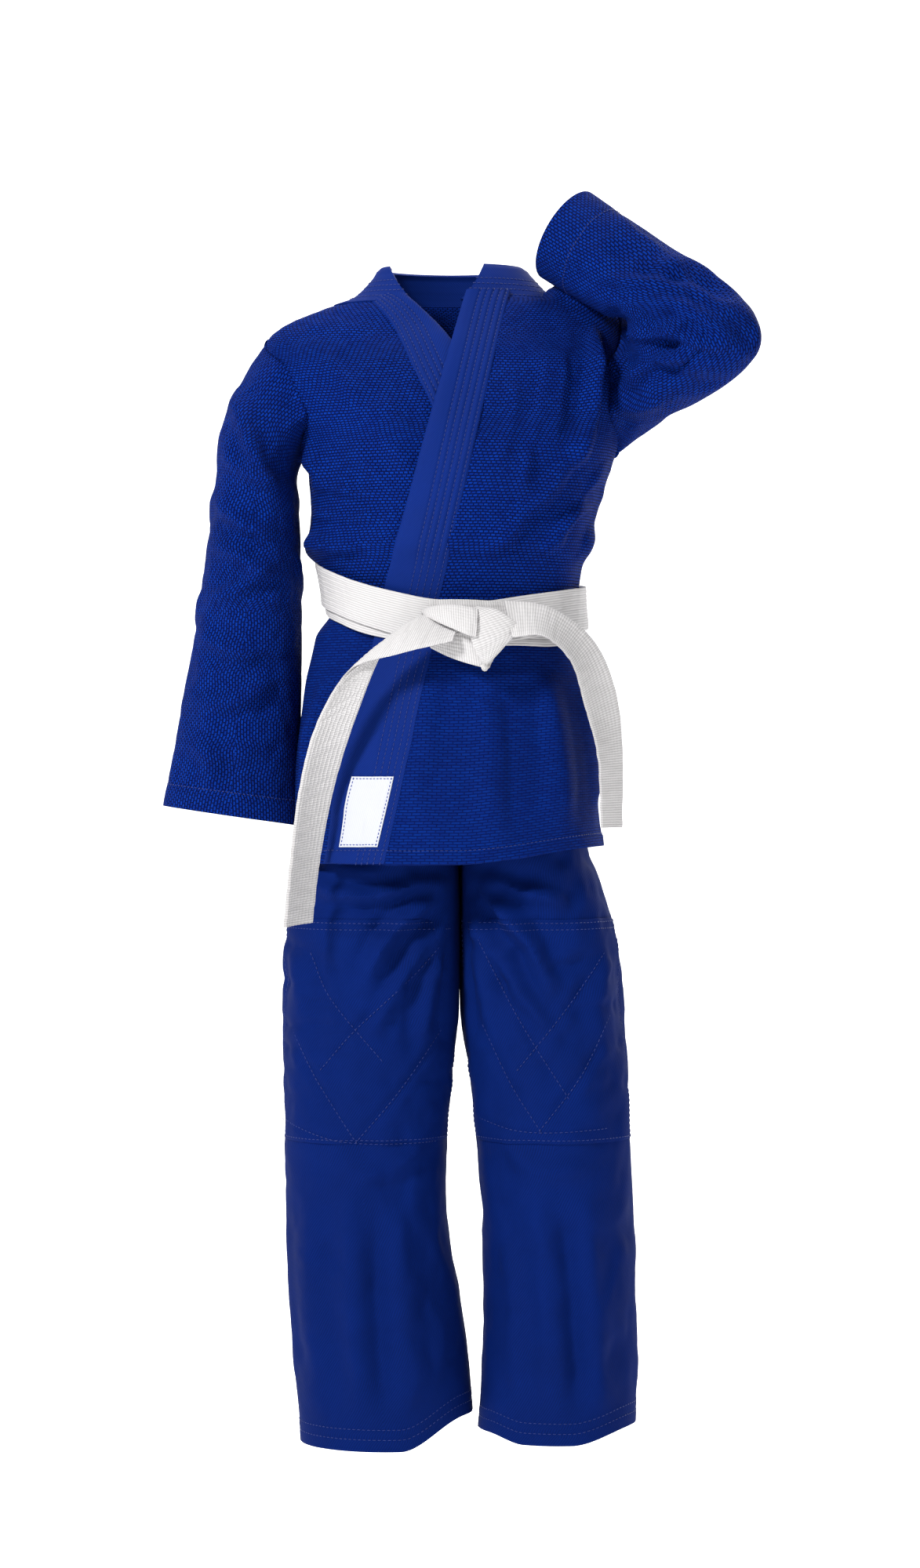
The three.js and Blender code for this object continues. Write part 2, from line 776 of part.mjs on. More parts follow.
for (const [side, surface] of Object.entries(legs)) {
  const lowest = legBottom[side];
  const kneeTop = kneeHeight + kneeFoldHalf;
  const kneeBottom = kneeHeight - kneeFoldHalf;
  const piece = (name, bottom, top, along) =>
    add(name + side, uprightTube(surface, { bottom, top, along, ...legCloth }), blueTwill);
  piece("hip_fold_", thighTop + seamGap, hipFoldTop - seamGap, 2);
  piece("thigh_", kneeTop + seamGap, thighTop - seamGap, 3);
  piece("knee_", kneeBottom + seamGap, kneeTop - seamGap, 2);
  piece("shin_", lowest, kneeBottom - seamGap, 5);
  add(
    "knee_patch_" + side,
    panel(surface, {
      bottom: kneePatchBottom,
      top: kneePatchTop,
      left: -80,
      right: 80,
      outer: looseGap + liningCloth,
      thickness: liningCloth,
      along: 5,
    }),
    blueTwill,
  );
  add(
    "leg_hem_" + side,
    uprightTube(surface, {
      bottom: lowest + 0.8,
      top: lowest + legHemDepth,
      outer: -trouserCloth - seamGap,
      along: 1,
      thickness: liningCloth,
      across: 18,
    }),
    blueTwill,
  );
}

// A diamond gusset closes the crotch between the two hip folds.
const gussetMiddle = -5.5;
const gussetShape = new THREE.Shape([
  new THREE.Vector2(gussetMiddle - gussetWidth / 2, 0),
  new THREE.Vector2(gussetMiddle, -gussetDepth / 2),
  new THREE.Vector2(gussetMiddle + gussetWidth / 2, 0),
  new THREE.Vector2(gussetMiddle, gussetDepth / 2),
]);
const gusset = new THREE.ExtrudeGeometry(gussetShape, { depth: gussetHeight, bevelEnabled: false });
gusset.deleteAttribute("normal");
gusset.deleteAttribute("uv");
gusset.translate(0, 0, gussetBottom);
add("crotch_gusset", gusset, blueTwill);

// ---- the part's frame ---------------------------------------------------------------

const uniform = new THREE.Group();
model.position.set(8, 0, -waistHeight);
uniform.add(model);

export default uniform;
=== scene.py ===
import math

import bpy
import numpy as np
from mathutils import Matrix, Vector


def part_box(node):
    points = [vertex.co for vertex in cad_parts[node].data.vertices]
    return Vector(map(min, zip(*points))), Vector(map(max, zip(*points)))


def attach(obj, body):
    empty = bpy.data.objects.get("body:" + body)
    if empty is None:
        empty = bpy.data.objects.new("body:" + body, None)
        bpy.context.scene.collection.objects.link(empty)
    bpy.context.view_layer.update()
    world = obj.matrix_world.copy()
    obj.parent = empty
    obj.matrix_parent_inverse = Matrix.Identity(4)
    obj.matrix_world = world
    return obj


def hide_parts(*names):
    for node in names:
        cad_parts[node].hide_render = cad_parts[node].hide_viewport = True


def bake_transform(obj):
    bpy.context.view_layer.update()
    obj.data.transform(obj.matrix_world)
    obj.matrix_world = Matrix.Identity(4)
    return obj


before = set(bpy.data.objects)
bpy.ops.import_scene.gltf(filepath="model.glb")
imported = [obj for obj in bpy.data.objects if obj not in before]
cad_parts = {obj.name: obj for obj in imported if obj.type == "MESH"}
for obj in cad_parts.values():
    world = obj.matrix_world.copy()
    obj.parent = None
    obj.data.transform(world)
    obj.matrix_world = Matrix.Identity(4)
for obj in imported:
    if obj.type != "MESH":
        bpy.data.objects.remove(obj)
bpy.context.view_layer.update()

# The sewing pattern is written in millimetres: x to the wearer's left, heights up from the
# lowest trouser hem. These shifts carry it to the frame.
pattern = {"leftShift": 8.0, "waistHeight": 848.0, "seamGap": 0.35}
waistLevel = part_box("jacket_back")[0].z - pattern["seamGap"] / 1000
print("waist seam at", round(waistLevel, 4))


def place(points):
    moved = np.array(points, float) + [pattern["leftShift"], 0, -pattern["waistHeight"]]
    return moved / 1000 + [0, 0, waistLevel]


def smooth(value, low, high):
    share = np.clip((np.asarray(value, float) - low) / (high - low), 0, 1)
    return share * share * (3 - 2 * share)


def mix(a, b, share):
    return a + (b - a) * share


def throughPoints(points, share):
    points = np.asarray(points, float)
    spans = len(points) - 1
    position = np.clip(share, 0, 1) * spans
    first = np.minimum(position.astype(int), spans - 1)
    t = (position - first)[..., None]
    ends = np.vstack([2 * points[0] - points[1], points, 2 * points[-1] - points[-2]])
    a, b, c, d = (ends[first + k] for k in range(4))
    return 0.5 * (
        2 * b + (c - a) * t + (2 * a - 5 * b + 4 * c - d) * t**2 + (3 * b - a - 3 * c + d) * t**3
    )


def makeTube(rings):
    # each ring is (centre, half width vector, half depth vector) in pattern millimetres
    centre, width, depth = (np.array([ring[k] for ring in rings], float) for k in range(3))
    shares = np.linspace(0, 1, 1500)
    heights = throughPoints(centre, shares)[:, 2]
    return {"centre": centre, "width": width, "depth": depth, "shares": shares, "heights": heights}


def uprightTube(rows):
    return makeTube([((x, y, z), (a, 0, 0), (0, -b, 0)) for x, y, z, a, b in rows])


def alongAt(tube, height):
    return np.interp(height, tube["heights"], tube["shares"])


def onTube(tube, angle, along):
    turn = np.radians(angle)[..., None]
    centre, width, depth = (throughPoints(tube[k], along) for k in ("centre", "width", "depth"))
    return centre + width * np.sin(turn) + depth * np.cos(turn)


def angleAt(tube, x, height):
    along = alongAt(tube, height)
    centre, width = throughPoints(tube["centre"], along), throughPoints(tube["width"], along)
    return np.degrees(np.arcsin(np.clip((x - centre[..., 0]) / width[..., 0], -0.98, 0.98)))


def gridNormals(grid, around, flip=False):
    if around:
        across = np.roll(grid, -1, 1) - np.roll(grid, 1, 1)
    else:
        across = np.gradient(grid, axis=1)
    normal = np.cross(across, np.gradient(grid, axis=0))
    normal /= np.maximum(np.linalg.norm(normal, axis=2, keepdims=True), 1e-9)
    return -normal if flip else normal


def panelGrid(tube, bottom, top, left, right, spacing=3.4, middle=45):
    # rows evenly spaced along the cloth, columns from the left edge angle to the right one
    fine = np.linspace(bottom, top, 400)
    line = onTube(tube, np.full(400, float(middle)), alongAt(tube, fine))
    run = np.concatenate([[0], np.cumsum(np.linalg.norm(np.diff(line, axis=0), axis=1))])
    rows = max(int(run[-1] / spacing), 2) + 1
    heights = np.interp(np.linspace(0, run[-1], rows), run, fine)
    edge = [e(heights) if callable(e) else np.full(rows, float(e)) for e in (left, right)]
    widest = np.radians(np.max(edge[1] - edge[0])) * np.abs(tube["width"][:, 0]).mean()
    columns = max(int(widest / spacing), 3) + 1
    angle = edge[0][:, None] + (edge[1] - edge[0])[:, None] * np.linspace(0, 1, columns)
    height = np.repeat(heights[:, None], columns, 1)
    return onTube(tube, angle, alongAt(tube, height)), angle, height


def foldLift(grid, normals, folds):
    # ridges in frame millimetres along drawn lines: side it shows on, line, width, height
    points = (place(grid) * 1000).reshape(-1, 3)
    facing = normals.reshape(-1, 3)
    sides = {"front": (0, -1, 0), "back": (0, 1, 0), "left": (1, 0, 0), "right": (-1, 0, 0)}
    lift = np.zeros(len(points))
    for side, line, width, height in folds:
        path = throughPoints(np.array(line, float), np.linspace(0, 1, 18))
        used = points[:, [0, 2]] if path.shape[1] == 2 else points
        if path.shape[1] == 2 and side in ("left", "right"):
            used = points[:, [1, 2]]
        step = path[1:] - path[:-1]
        offset = used[:, None] - path[None, :-1]
        t = np.clip((offset * step).sum(2) / (step**2).sum(1), 0, 1)
        distance = np.linalg.norm(offset - t[..., None] * step, axis=2)
        nearest = distance.argmin(1)
        pick = np.arange(len(points))
        away = distance[pick, nearest] / width
        share = (nearest + t[pick, nearest]) / len(step)
        fade = smooth(share, 0, 0.3) * smooth(1 - share, 0, 0.3)
        shape = np.exp(-(away**1.7)) - 0.42 * np.exp(-(((away - 1.9) / 0.95) ** 2))
        shown = smooth(facing @ np.array(sides[side], float), -0.1, 0.35) if side else 1
        lift += height * shape * fade * shown
    return lift.reshape(grid.shape[:2])


def crumple(grid, size, height, seed, squeeze=(1, 1, 1)):
    # soft dents and ridges of no set direction, sizes in millimetres
    draw = np.random.default_rng(seed)
    directions = draw.normal(size=(16, 3)) * squeeze
    directions /= np.linalg.norm(directions, axis=1, keepdims=True)
    waves = directions * (2 * np.pi / size) * draw.uniform(0.6, 1.5, (16, 1))
    phase = draw.uniform(0, 2 * np.pi, 16)
    total = np.sin(grid.reshape(-1, 3) @ waves.T + phase).sum(1) / 4
    ridged = 0.6 - np.abs(total)
    return height * (0.55 * total + 0.45 * ridged).reshape(grid.shape[:2])


def keepAbove(lift, floor):
    # dents flatten out before they reach the layer beneath
    return floor + np.logaddexp(0, (lift - floor) / 0.7) * 0.7


def nearEdge(grid, edges, reach):
    # 1 at a named edge of the grid, falling to 0 within reach millimetres
    across = np.linalg.norm(np.diff(grid, axis=1), axis=2)
    along = np.linalg.norm(np.diff(grid, axis=0), axis=2)
    fromLeft = np.concatenate([np.zeros((len(grid), 1)), np.cumsum(across, 1)], 1)
    fromBottom = np.concatenate([np.zeros((1, grid.shape[1])), np.cumsum(along, 0)], 0)
    away = {
        "left": fromLeft,
        "right": fromLeft[:, -1:] - fromLeft,
        "bottom": fromBottom,
        "top": fromBottom[-1:] - fromBottom,
    }
    total = np.zeros(grid.shape[:2])
    for edge in edges:
        total = np.maximum(total, np.exp(-((away[edge] / reach) ** 2)))
    return total


def clothUV(grid, around):
    closed = np.concatenate([grid, grid[:, :1]], 1) if around else grid
    across = np.linalg.norm(np.diff(closed, axis=1), axis=2)
    along = np.linalg.norm(np.diff(closed, axis=0), axis=2).mean(1)
    u = np.concatenate([np.zeros((len(grid), 1)), np.cumsum(across, 1)], 1)
    u -= u[:, -1:] / 2
    v = np.concatenate([[0], np.cumsum(along)])
    return np.stack([u, np.repeat(v[:, None], u.shape[1], 1)], 2) / 1000


def meshPiece(name, points, faces, uv, material):
    mesh = bpy.data.meshes.new(name)
    mesh.from_pydata(points.tolist(), [], faces.tolist())
    layer = mesh.uv_layers.new(name="cloth")
    layer.data.foreach_set("uv", uv.reshape(-1).astype(np.float32))
    mesh.polygons.foreach_set("use_smooth", np.ones(len(mesh.polygons), bool))
    mesh.set_sharp_from_angle(angle=math.radians(52))
    mesh.materials.append(material)
    mesh.update()
    piece = bpy.data.objects.new(name, mesh)
    bpy.context.scene.collection.objects.link(piece)
    return piece


def clothShell(name, grid, thickness, material, around=False, flip=False):
    # a closed double wall of cloth from its outer surface, given in pattern millimetres
    rows, columns = grid.shape[:2]
    spans = columns if around else columns - 1
    normals = gridNormals(grid, around, flip)
    thick = np.broadcast_to(np.asarray(thickness, float), (rows, columns))[..., None]
    layers = np.concatenate([grid.reshape(-1, 3), (grid - normals * thick).reshape(-1, 3)])
    uv = clothUV(grid, around).reshape(-1, 2)
    j, i = (a.reshape(-1) for a in np.mgrid[0 : rows - 1, 0:spans])
    i0, j0 = np.arange(spans), np.arange(rows - 1)
    top = rows - 1 + 0 * i0
    walls = [
        [(j, i, 0), (j, i + 1, 0), (j + 1, i + 1, 0), (j + 1, i, 0)],
        [(j, i, 1), (j + 1, i, 1), (j + 1, i + 1, 1), (j, i + 1, 1)],
        [(0 * i0, i0, 1), (0 * i0, i0 + 1, 1), (0 * i0, i0 + 1, 0), (0 * i0, i0, 0)],
        [(top, i0, 0), (top, i0 + 1, 0), (top, i0 + 1, 1), (top, i0, 1)],
    ]
    if not around:
        z = 0 * j0
        walls.append([(j0, z, 0), (j0 + 1, z, 0), (j0 + 1, z, 1), (j0, z, 1)])
        e = z + spans
        walls.append([(j0, e, 1), (j0 + 1, e, 1), (j0 + 1, e, 0), (j0, e, 0)])
    faces, corners = [], []
    for wall in walls:
        order = wall[::-1] if flip else wall
        faces.append(np.stack([s * rows * columns + r * columns + c % columns for r, c, s in order], 1))
        corners.append(np.stack([r * (spans + 1) + c for r, c, s in order], 1))
    corners = np.concatenate(corners)
    return meshPiece(name, place(layers), np.concatenate(faces), uv[corners], material)


def flatSize(grid, around=False):
    # the cut size of a piece of cloth before its folds
    closed = np.concatenate([grid, grid[:, :1]], 1) if around else grid
    width = np.linalg.norm(np.diff(closed, axis=1), axis=2).sum(1)
    length = np.linalg.norm(np.diff(closed, axis=0), axis=2).sum(0)
    cut = (round(float(width.max()) / 1000, 3), round(float(length.mean()) / 1000, 3))
    area = float(width.mean() * length.mean()) / 1e6
    return cut, round(min(area, 0.98 * cut[0] * cut[1]), 5)


sheets = []


def asSheet(piece, base, around=False):
    cut, area = flatSize(base, around)
    sheets.append((piece.name, cut, area))


def onJacket(piece, slot, *nodes):
    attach(piece, "jacket")
    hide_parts(*nodes)


def addNode(tree, kind, settings=None, inputs=None):
    made = tree.nodes.new(kind)
    for key, value in (settings or {}).items():
        setattr(made, key, value)
    for key, value in (inputs or {}).items():
        if isinstance(value, bpy.types.NodeSocket):
            tree.links.new(value, made.inputs[key])
        else:
            made.inputs[key].default_value = value
    return made


def linear(hexColour):
    values = [int(hexColour[k : k + 2], 16) / 255 for k in (1, 3, 5)]
    return [v / 12.92 if v <= 0.04045 else ((v + 0.055) / 1.055) ** 2.4 for v in values] + [1]


def newMaterial(name):
    material = bpy.data.materials.new(name)
    material.use_nodes = True
    tree = material.node_tree
    shader = tree.nodes["Principled BSDF"]
    where = addNode(tree, "ShaderNodeTexCoord")
    return material, tree, shader, where


def finishCloth(tree, shader, look, colour, height, where):
    # fading, fuzz and bump shared by every cotton here
    patchy = addNode(tree, "ShaderNodeTexNoise", inputs={
        "Vector": where.outputs["Object"], "Scale": 14.0, "Detail": 4.0, "Roughness": 0.6})
    shade = addNode(tree, "ShaderNodeMapRange", inputs={
        "Value": patchy.outputs["Fac"], "From Min": 0.3, "From Max": 0.7,
        "To Min": 1 - look["fading"], "To Max": 1 + look["fading"]})
    faded = addNode(tree, "ShaderNodeMix", {"data_type": "RGBA", "blend_type": "MULTIPLY"}, {
        "Factor": 1.0, 6: colour, 7: shade.outputs["Result"]})
    fuzz = addNode(tree, "ShaderNodeTexNoise", inputs={
        "Vector": where.outputs["Object"], "Scale": 900.0, "Detail": 2.0})
    fine = addNode(tree, "ShaderNodeMath", {"operation": "MULTIPLY_ADD"}, {
        0: fuzz.outputs["Fac"], 1: look["fuzz"], 2: height})
    bump = addNode(tree, "ShaderNodeBump", inputs={
        "Height": fine.outputs[0], "Distance": look["relief"], "Strength": look["bump"]})
    rough = addNode(tree, "ShaderNodeMapRange", inputs={
        "Value": patchy.outputs["Fac"], "To Min": look["roughness"] - 0.06, "To Max": look["roughness"] + 0.06})
    for key, value in {
        "Base Color": faded.outputs[2], "Normal": bump.outputs["Normal"], "Roughness": rough.outputs["Result"]
    }.items():
        tree.links.new(value, shader.inputs[key])
    shader.inputs["IOR"].default_value = 1.46
    shader.inputs["Specular IOR Level"].default_value = look["specular"]
    shader.inputs["Sheen Weight"].default_value = look["sheen"]
    shader.inputs["Sheen Roughness"].default_value = 0.45
    shader.inputs["Sheen Tint"].default_value = linear(look["sheenColour"])


def brickWeave(name, look):
    # staggered grains or ribs: each grain is one bundle of thread standing over its neighbours; the darker gap
    # colour between them is painted shade in the hollows
    material, tree, shader, where = newMaterial(name)
    wobble = addNode(tree, "ShaderNodeTexNoise", inputs={
        "Vector": where.outputs["UV"], "Scale": 90.0, "Detail": 2.0})
    shifted = addNode(tree, "ShaderNodeVectorMath", {"operation": "MULTIPLY_ADD"}, {
        0: wobble.outputs["Color"], 1: (look["wobble"],) * 3, 2: where.outputs["UV"]})
    grain = addNode(tree, "ShaderNodeMapping", inputs={
        "Vector": shifted.outputs[0], "Scale": (1000, 1000, 1000),
        "Rotation": (0, 0, math.radians(look["turn"]))})
    bricks = addNode(tree, "ShaderNodeTexBrick", {"offset": 0.5, "squash": 1.0}, {
        "Vector": grain.outputs["Vector"], "Color1": linear(look["thread"]),
        "Color2": linear(look["threadLight"]), "Mortar": linear(look["gap"]), "Scale": 1.0,
        "Mortar Size": look["gapWidth"], "Mortar Smooth": 1.0, "Bias": 0.0,
        "Brick Width": look["grainLength"], "Row Height": look["grainPitch"]})
    height = addNode(tree, "ShaderNodeMath", {"operation": "SUBTRACT"}, {0: 1.0, 1: bricks.outputs["Fac"]})
    finishCloth(tree, shader, look, bricks.outputs["Color"], height.outputs[0], where)
    return material


def twillWeave(name, look):
    # fine diagonal wales; the darker gap colour in the troughs between wales is painted shade
    material, tree, shader, where = newMaterial(name)
    scaled = addNode(tree, "ShaderNodeMapping", inputs={
        "Vector": where.outputs["UV"], "Scale": (1000, 1000, 1000),
        "Rotation": (0, 0, math.radians(look["turn"]))})
    wale = addNode(tree, "ShaderNodeTexWave", {"bands_direction": "X"}, {
        "Vector": scaled.outputs["Vector"], "Scale": 0.314 / look["walePitch"], "Distortion": 0.6,
        "Detail": 1.0, "Detail Scale": 0.3})
    colour = addNode(tree, "ShaderNodeMix", {"data_type": "RGBA"}, {
        "Factor": wale.outputs["Fac"], 6: linear(look["gap"]), 7: linear(look["thread"])})
    finishCloth(tree, shader, look, colour.outputs[2], wale.outputs["Fac"], where)
    return material


# Pearl-weave cotton, dyed in the piece: blunt grains 5 mm long catch the light in rows.
# They are drawn at 3.1 mm, a little coarser than real, so that they show.
# the gap colour of this cotton is painted shade in the hollows between the grains
pearlWeave = {
    "thread": "#012171", "threadLight": "#022c85", "gap": "#010d46", "grainLength": 5.0,
    "grainPitch": 3.1, "gapWidth": 0.85, "wobble": 0.0012, "relief": 0.0022, "bump": 1.0, "fading": 0.1,
    "fuzz": 0.25, "roughness": 0.86, "specular": 0.06, "sheen": 0.008, "sheenColour": "#8fa6ff"}
riceCotton = brickWeave("pearlWeaveCotton", {**pearlWeave, "turn": 0})
# The same cotton, turned to run down the sleeves.
sleeveCotton = brickWeave("pearlWeaveCottonSleeve", {**pearlWeave, "turn": 90})
# Diamond-quilted skirt cotton shows as close level ribs; its gap colour is painted shade between the ribs.
skirtCotton = brickWeave("ribbedSkirtCotton", {
    "thread": "#011b5e", "threadLight": "#01226b", "gap": "#010f4a", "grainLength": 9.0,
    "grainPitch": 2.8, "gapWidth": 0.7, "wobble": 0.0008, "turn": 0, "relief": 0.0009, "bump": 0.9,
    "fading": 0.08, "fuzz": 0.25, "roughness": 0.86, "specular": 0.06, "sheen": 0.006, "sheenColour": "#8fa6ff"})
# Lapel and trouser twill: smooth, tight, with a dull sheen; wales drawn wide enough to show. Their gap colours are
# painted shade in the troughs between wales.
lapelTwill = twillWeave("lapelCottonTwill", {
    "thread": "#03226b", "gap": "#011958", "walePitch": 2.0, "turn": 38, "relief": 0.0002, "bump": 0.5,
    "fading": 0.07, "fuzz": 0.4, "roughness": 0.78, "specular": 0.1, "sheen": 0.006, "sheenColour": "#8fa6ff"})
trouserTwill = twillWeave("trouserCottonTwill", {
    "thread": "#031b5a", "gap": "#021449", "walePitch": 2.2, "turn": 34, "relief": 0.00025, "bump": 0.5,
    "fading": 0.09, "fuzz": 0.5, "roughness": 0.8, "specular": 0.045, "sheen": 0.006, "sheenColour": "#8fa6ff"})
# Belt: white cotton drill over wadding, closely quilted along its length. Its grey gap colour is painted shade in
# the troughs between wales.
beltCotton = twillWeave("whiteBeltDrill", {
    "thread": "#c3c1c1", "gap": "#a8a6a6", "walePitch": 2.4, "turn": 90, "relief": 0.0003, "bump": 0.6,
    "fading": 0.025, "fuzz": 0.6, "roughness": 0.84, "specular": 0.25, "sheen": 0.006, "sheenColour": "#ffffff"})
# woven patch: its gap colour is painted shade in the troughs between wales
patchWeave = twillWeave("wovenPatchSatin", {
    "thread": "#bbbcc2", "gap": "#adb0b8", "walePitch": 1.4, "turn": 0, "relief": 0.0001, "bump": 0.4,
    "fading": 0.02, "fuzz": 0.3, "roughness": 0.6, "specular": 0.35, "sheen": 0.05, "sheenColour": "#ffffff"})
# knitted elastic: its darker gap colour is painted shade in the troughs between ribs
elasticKnit = twillWeave("knittedElastic", {
    "thread": "#c9ccd4", "gap": "#9da1ac", "walePitch": 2.0, "turn": 90, "relief": 0.0004, "bump": 0.8,
    "fading": 0.04, "fuzz": 0.3, "roughness": 0.8, "specular": 0.25, "sheen": 0.05, "sheenColour": "#ffffff"})


def threadMaterial(name, colour):
    # spun polyester sewing thread, a little glossier than the cotton round it
    material, tree, shader, where = newMaterial(name)
    finishCloth(tree, shader, {
        "fading": 0.05, "fuzz": 0.2, "relief": 0.0001, "bump": 0.3, "roughness": 0.55, "specular": 0.45,
        "sheen": 0.05, "sheenColour": "#ffffff"},
        addNode(tree, "ShaderNodeRGB").outputs[0], 0.0, where)
    tree.nodes["RGB"].outputs[0].default_value = linear(colour)
    return material


blueThread = threadMaterial("bluePolyesterThread", "#0a2f86")
darkThread = threadMaterial("navyPolyesterThread", "#051f66")
print("materials ready")


# Stitches follow drawn lines: one small capsule of thread per stitch.
def stitchTree():
    tree = bpy.data.node_groups.new("stitchRow", "GeometryNodeTree")
    interface = tree.interface
    interface.new_socket("Geometry", in_out="INPUT", socket_type="NodeSocketGeometry")
    sizes = {}
    for label, default in {"Pitch": 0.004, "Length": 0.0028, "Width": 0.0009}.items():
        socket = interface.new_socket(label, in_out="INPUT", socket_type="NodeSocketFloat")
        socket.default_value = default
        sizes[label] = socket.identifier
    thread = interface.new_socket("Thread", in_out="INPUT", socket_type="NodeSocketMaterial")
    sizes["Thread"] = thread.identifier
    interface.new_socket("Geometry", in_out="OUTPUT", socket_type="NodeSocketGeometry")
    given = addNode(tree, "NodeGroupInput")
    toCurve = addNode(tree, "GeometryNodeMeshToCurve", inputs={"Mesh": given.outputs["Geometry"]})
    evenly = addNode(tree, "GeometryNodeResampleCurve", {"mode": "LENGTH"}, {
        "Curve": toCurve.outputs["Curve"], "Length": given.outputs["Pitch"]})
    bead = addNode(tree, "GeometryNodeMeshUVSphere", inputs={"Segments": 6, "Rings": 4, "Radius": 0.5})
    size = addNode(tree, "ShaderNodeCombineXYZ", inputs={
        "X": given.outputs["Length"], "Y": given.outputs["Width"], "Z": given.outputs["Width"]})
    stitch = addNode(tree, "GeometryNodeTransform", inputs={
        "Geometry": bead.outputs["Mesh"], "Scale": size.outputs["Vector"]})
    tangent = addNode(tree, "GeometryNodeInputTangent")
    aligned = addNode(tree, "FunctionNodeAlignRotationToVector", {"axis": "X"}, {
        "Vector": tangent.outputs["Tangent"]})
    placed = addNode(tree, "GeometryNodeInstanceOnPoints", inputs={
        "Points": evenly.outputs["Curve"], "Instance": stitch.outputs["Geometry"],
        "Rotation": aligned.outputs["Rotation"]})
    real = addNode(tree, "GeometryNodeRealizeInstances", inputs={"Geometry": placed.outputs["Instances"]})
    coloured = addNode(tree, "GeometryNodeSetMaterial", inputs={
        "Geometry": real.outputs["Geometry"], "Material": given.outputs["Thread"]})
    addNode(tree, "NodeGroupOutput", inputs={"Geometry": coloured.outputs["Geometry"]})
    return tree, sizes


stitchNodes, stitchSizes = stitchTree()


def stitches(name, lines, thread, pitch=0.0042, length=0.0032, width=0.0011):
    # lines are lists of points in frame metres; returns one plain mesh
    points, edges = [], []
    for line in lines:
        start = len(points)
        points += [tuple(p) for p in line]
        edges += [(start + k, start + k + 1) for k in range(len(line) - 1)]
    mesh = bpy.data.meshes.new(name + "Line")
    mesh.from_pydata(points, edges, [])
    guide = bpy.data.objects.new(name + "Line", mesh)
    bpy.context.scene.collection.objects.link(guide)
    modifier = guide.modifiers.new("stitchRow", "NODES")
    modifier.node_group = stitchNodes
    for label, value in {"Pitch": pitch, "Length": length, "Width": width, "Thread": thread}.items():
        modifier[stitchSizes[label]] = value
    seen = guide.evaluated_get(bpy.context.evaluated_depsgraph_get())
    made = bpy.data.meshes.new_from_object(seen)
    made.name = name
    bpy.data.objects.remove(guide)
    made.polygons.foreach_set("use_smooth", np.ones(len(made.polygons), bool))
    piece = bpy.data.objects.new(name, made)
    bpy.context.scene.collection.objects.link(piece)
    return piece


def gridLine(grid, normals, rows, columns, raised=0.0004):
    # a line across a grid of cloth at fractional rows and columns, standing just off it
    rows, columns = np.asarray(rows, float), np.asarray(columns, float)
    r0 = np.clip(rows.astype(int), 0, grid.shape[0] - 2)
    c0 = np.clip(columns.astype(int), 0, grid.shape[1] - 2)
    fr, fc = (rows - r0)[:, None], (columns - c0)[:, None]

    def sample(values):
        low = values[r0, c0] * (1 - fc) + values[r0, c0 + 1] * fc
        high = values[r0 + 1, c0] * (1 - fc) + values[r0 + 1, c0 + 1] * fc
        return low * (1 - fr) + high * fr

    return place(sample(grid)) + sample(normals) * raised


# ---- jacket body
jacket = {
    "cloth": 3.0, "overlap": 4.3, "sideSeam": 89.9, "armholeOpening": 27, "armholeBottom": 1000,
    "armholeTop": 1120, "neckHeight": 1160, "waist": 848,
    "ventAngle": 84, "lapelWidth": 60, "edgeGap": 0.15,
}
bodyTube = uprightTube([
    (-8, 0, 800, 129, 101), (-8, 0, 848, 124, 95), (-13, 0, 905.1, 137, 106), (-6, 0, 968.1, 149, 114),
    (-2, 0, 1012.1, 159, 113), (-10, 2, 1059.8, 174, 103), (-18, 4, 1097.9, 182, 87),
    (-20, 6, 1124.1, 172, 73), (-14, 8, 1143.2, 142, 64), (-10, 10, 1160, 98, 58), (-10, 12, 1184, 74, 52),
])


def frontSide(height):
    low, top = jacket["armholeBottom"], jacket["armholeTop"]
    opening = smooth(height, low, low + 42) * (1 - smooth(height, top - 33.6, top))
    return jacket["sideSeam"] - jacket["armholeOpening"] * opening


def rise(height):
    return (height - jacket["waist"]) / (jacket["neckHeight"] - jacket["waist"])


def leftLapelInner(height):
    return angleAt(bodyTube, mix(-80, 3, rise(height)), height)


def leftLapelOuter(height):
    return angleAt(bodyTube, mix(-24, 46, rise(height)), height)


rightEdge = throughPoints(
    [(64, 848), (52, 940), (30, 1039.9), (-17, 1116.9), (-58, 1160)], np.linspace(0, 1, 200))


def rightLapelInner(height):
    return angleAt(bodyTube, np.interp(height, rightEdge[:, 1], rightEdge[:, 0]), height)


def rightLapelOuter(height):
    inner = np.interp(height, rightEdge[:, 1], rightEdge[:, 0])
    width = jacket["lapelWidth"] * mix(1, 0.68, smooth(height, 1060, jacket["neckHeight"]))
    return angleAt(bodyTube, inner - width, height)


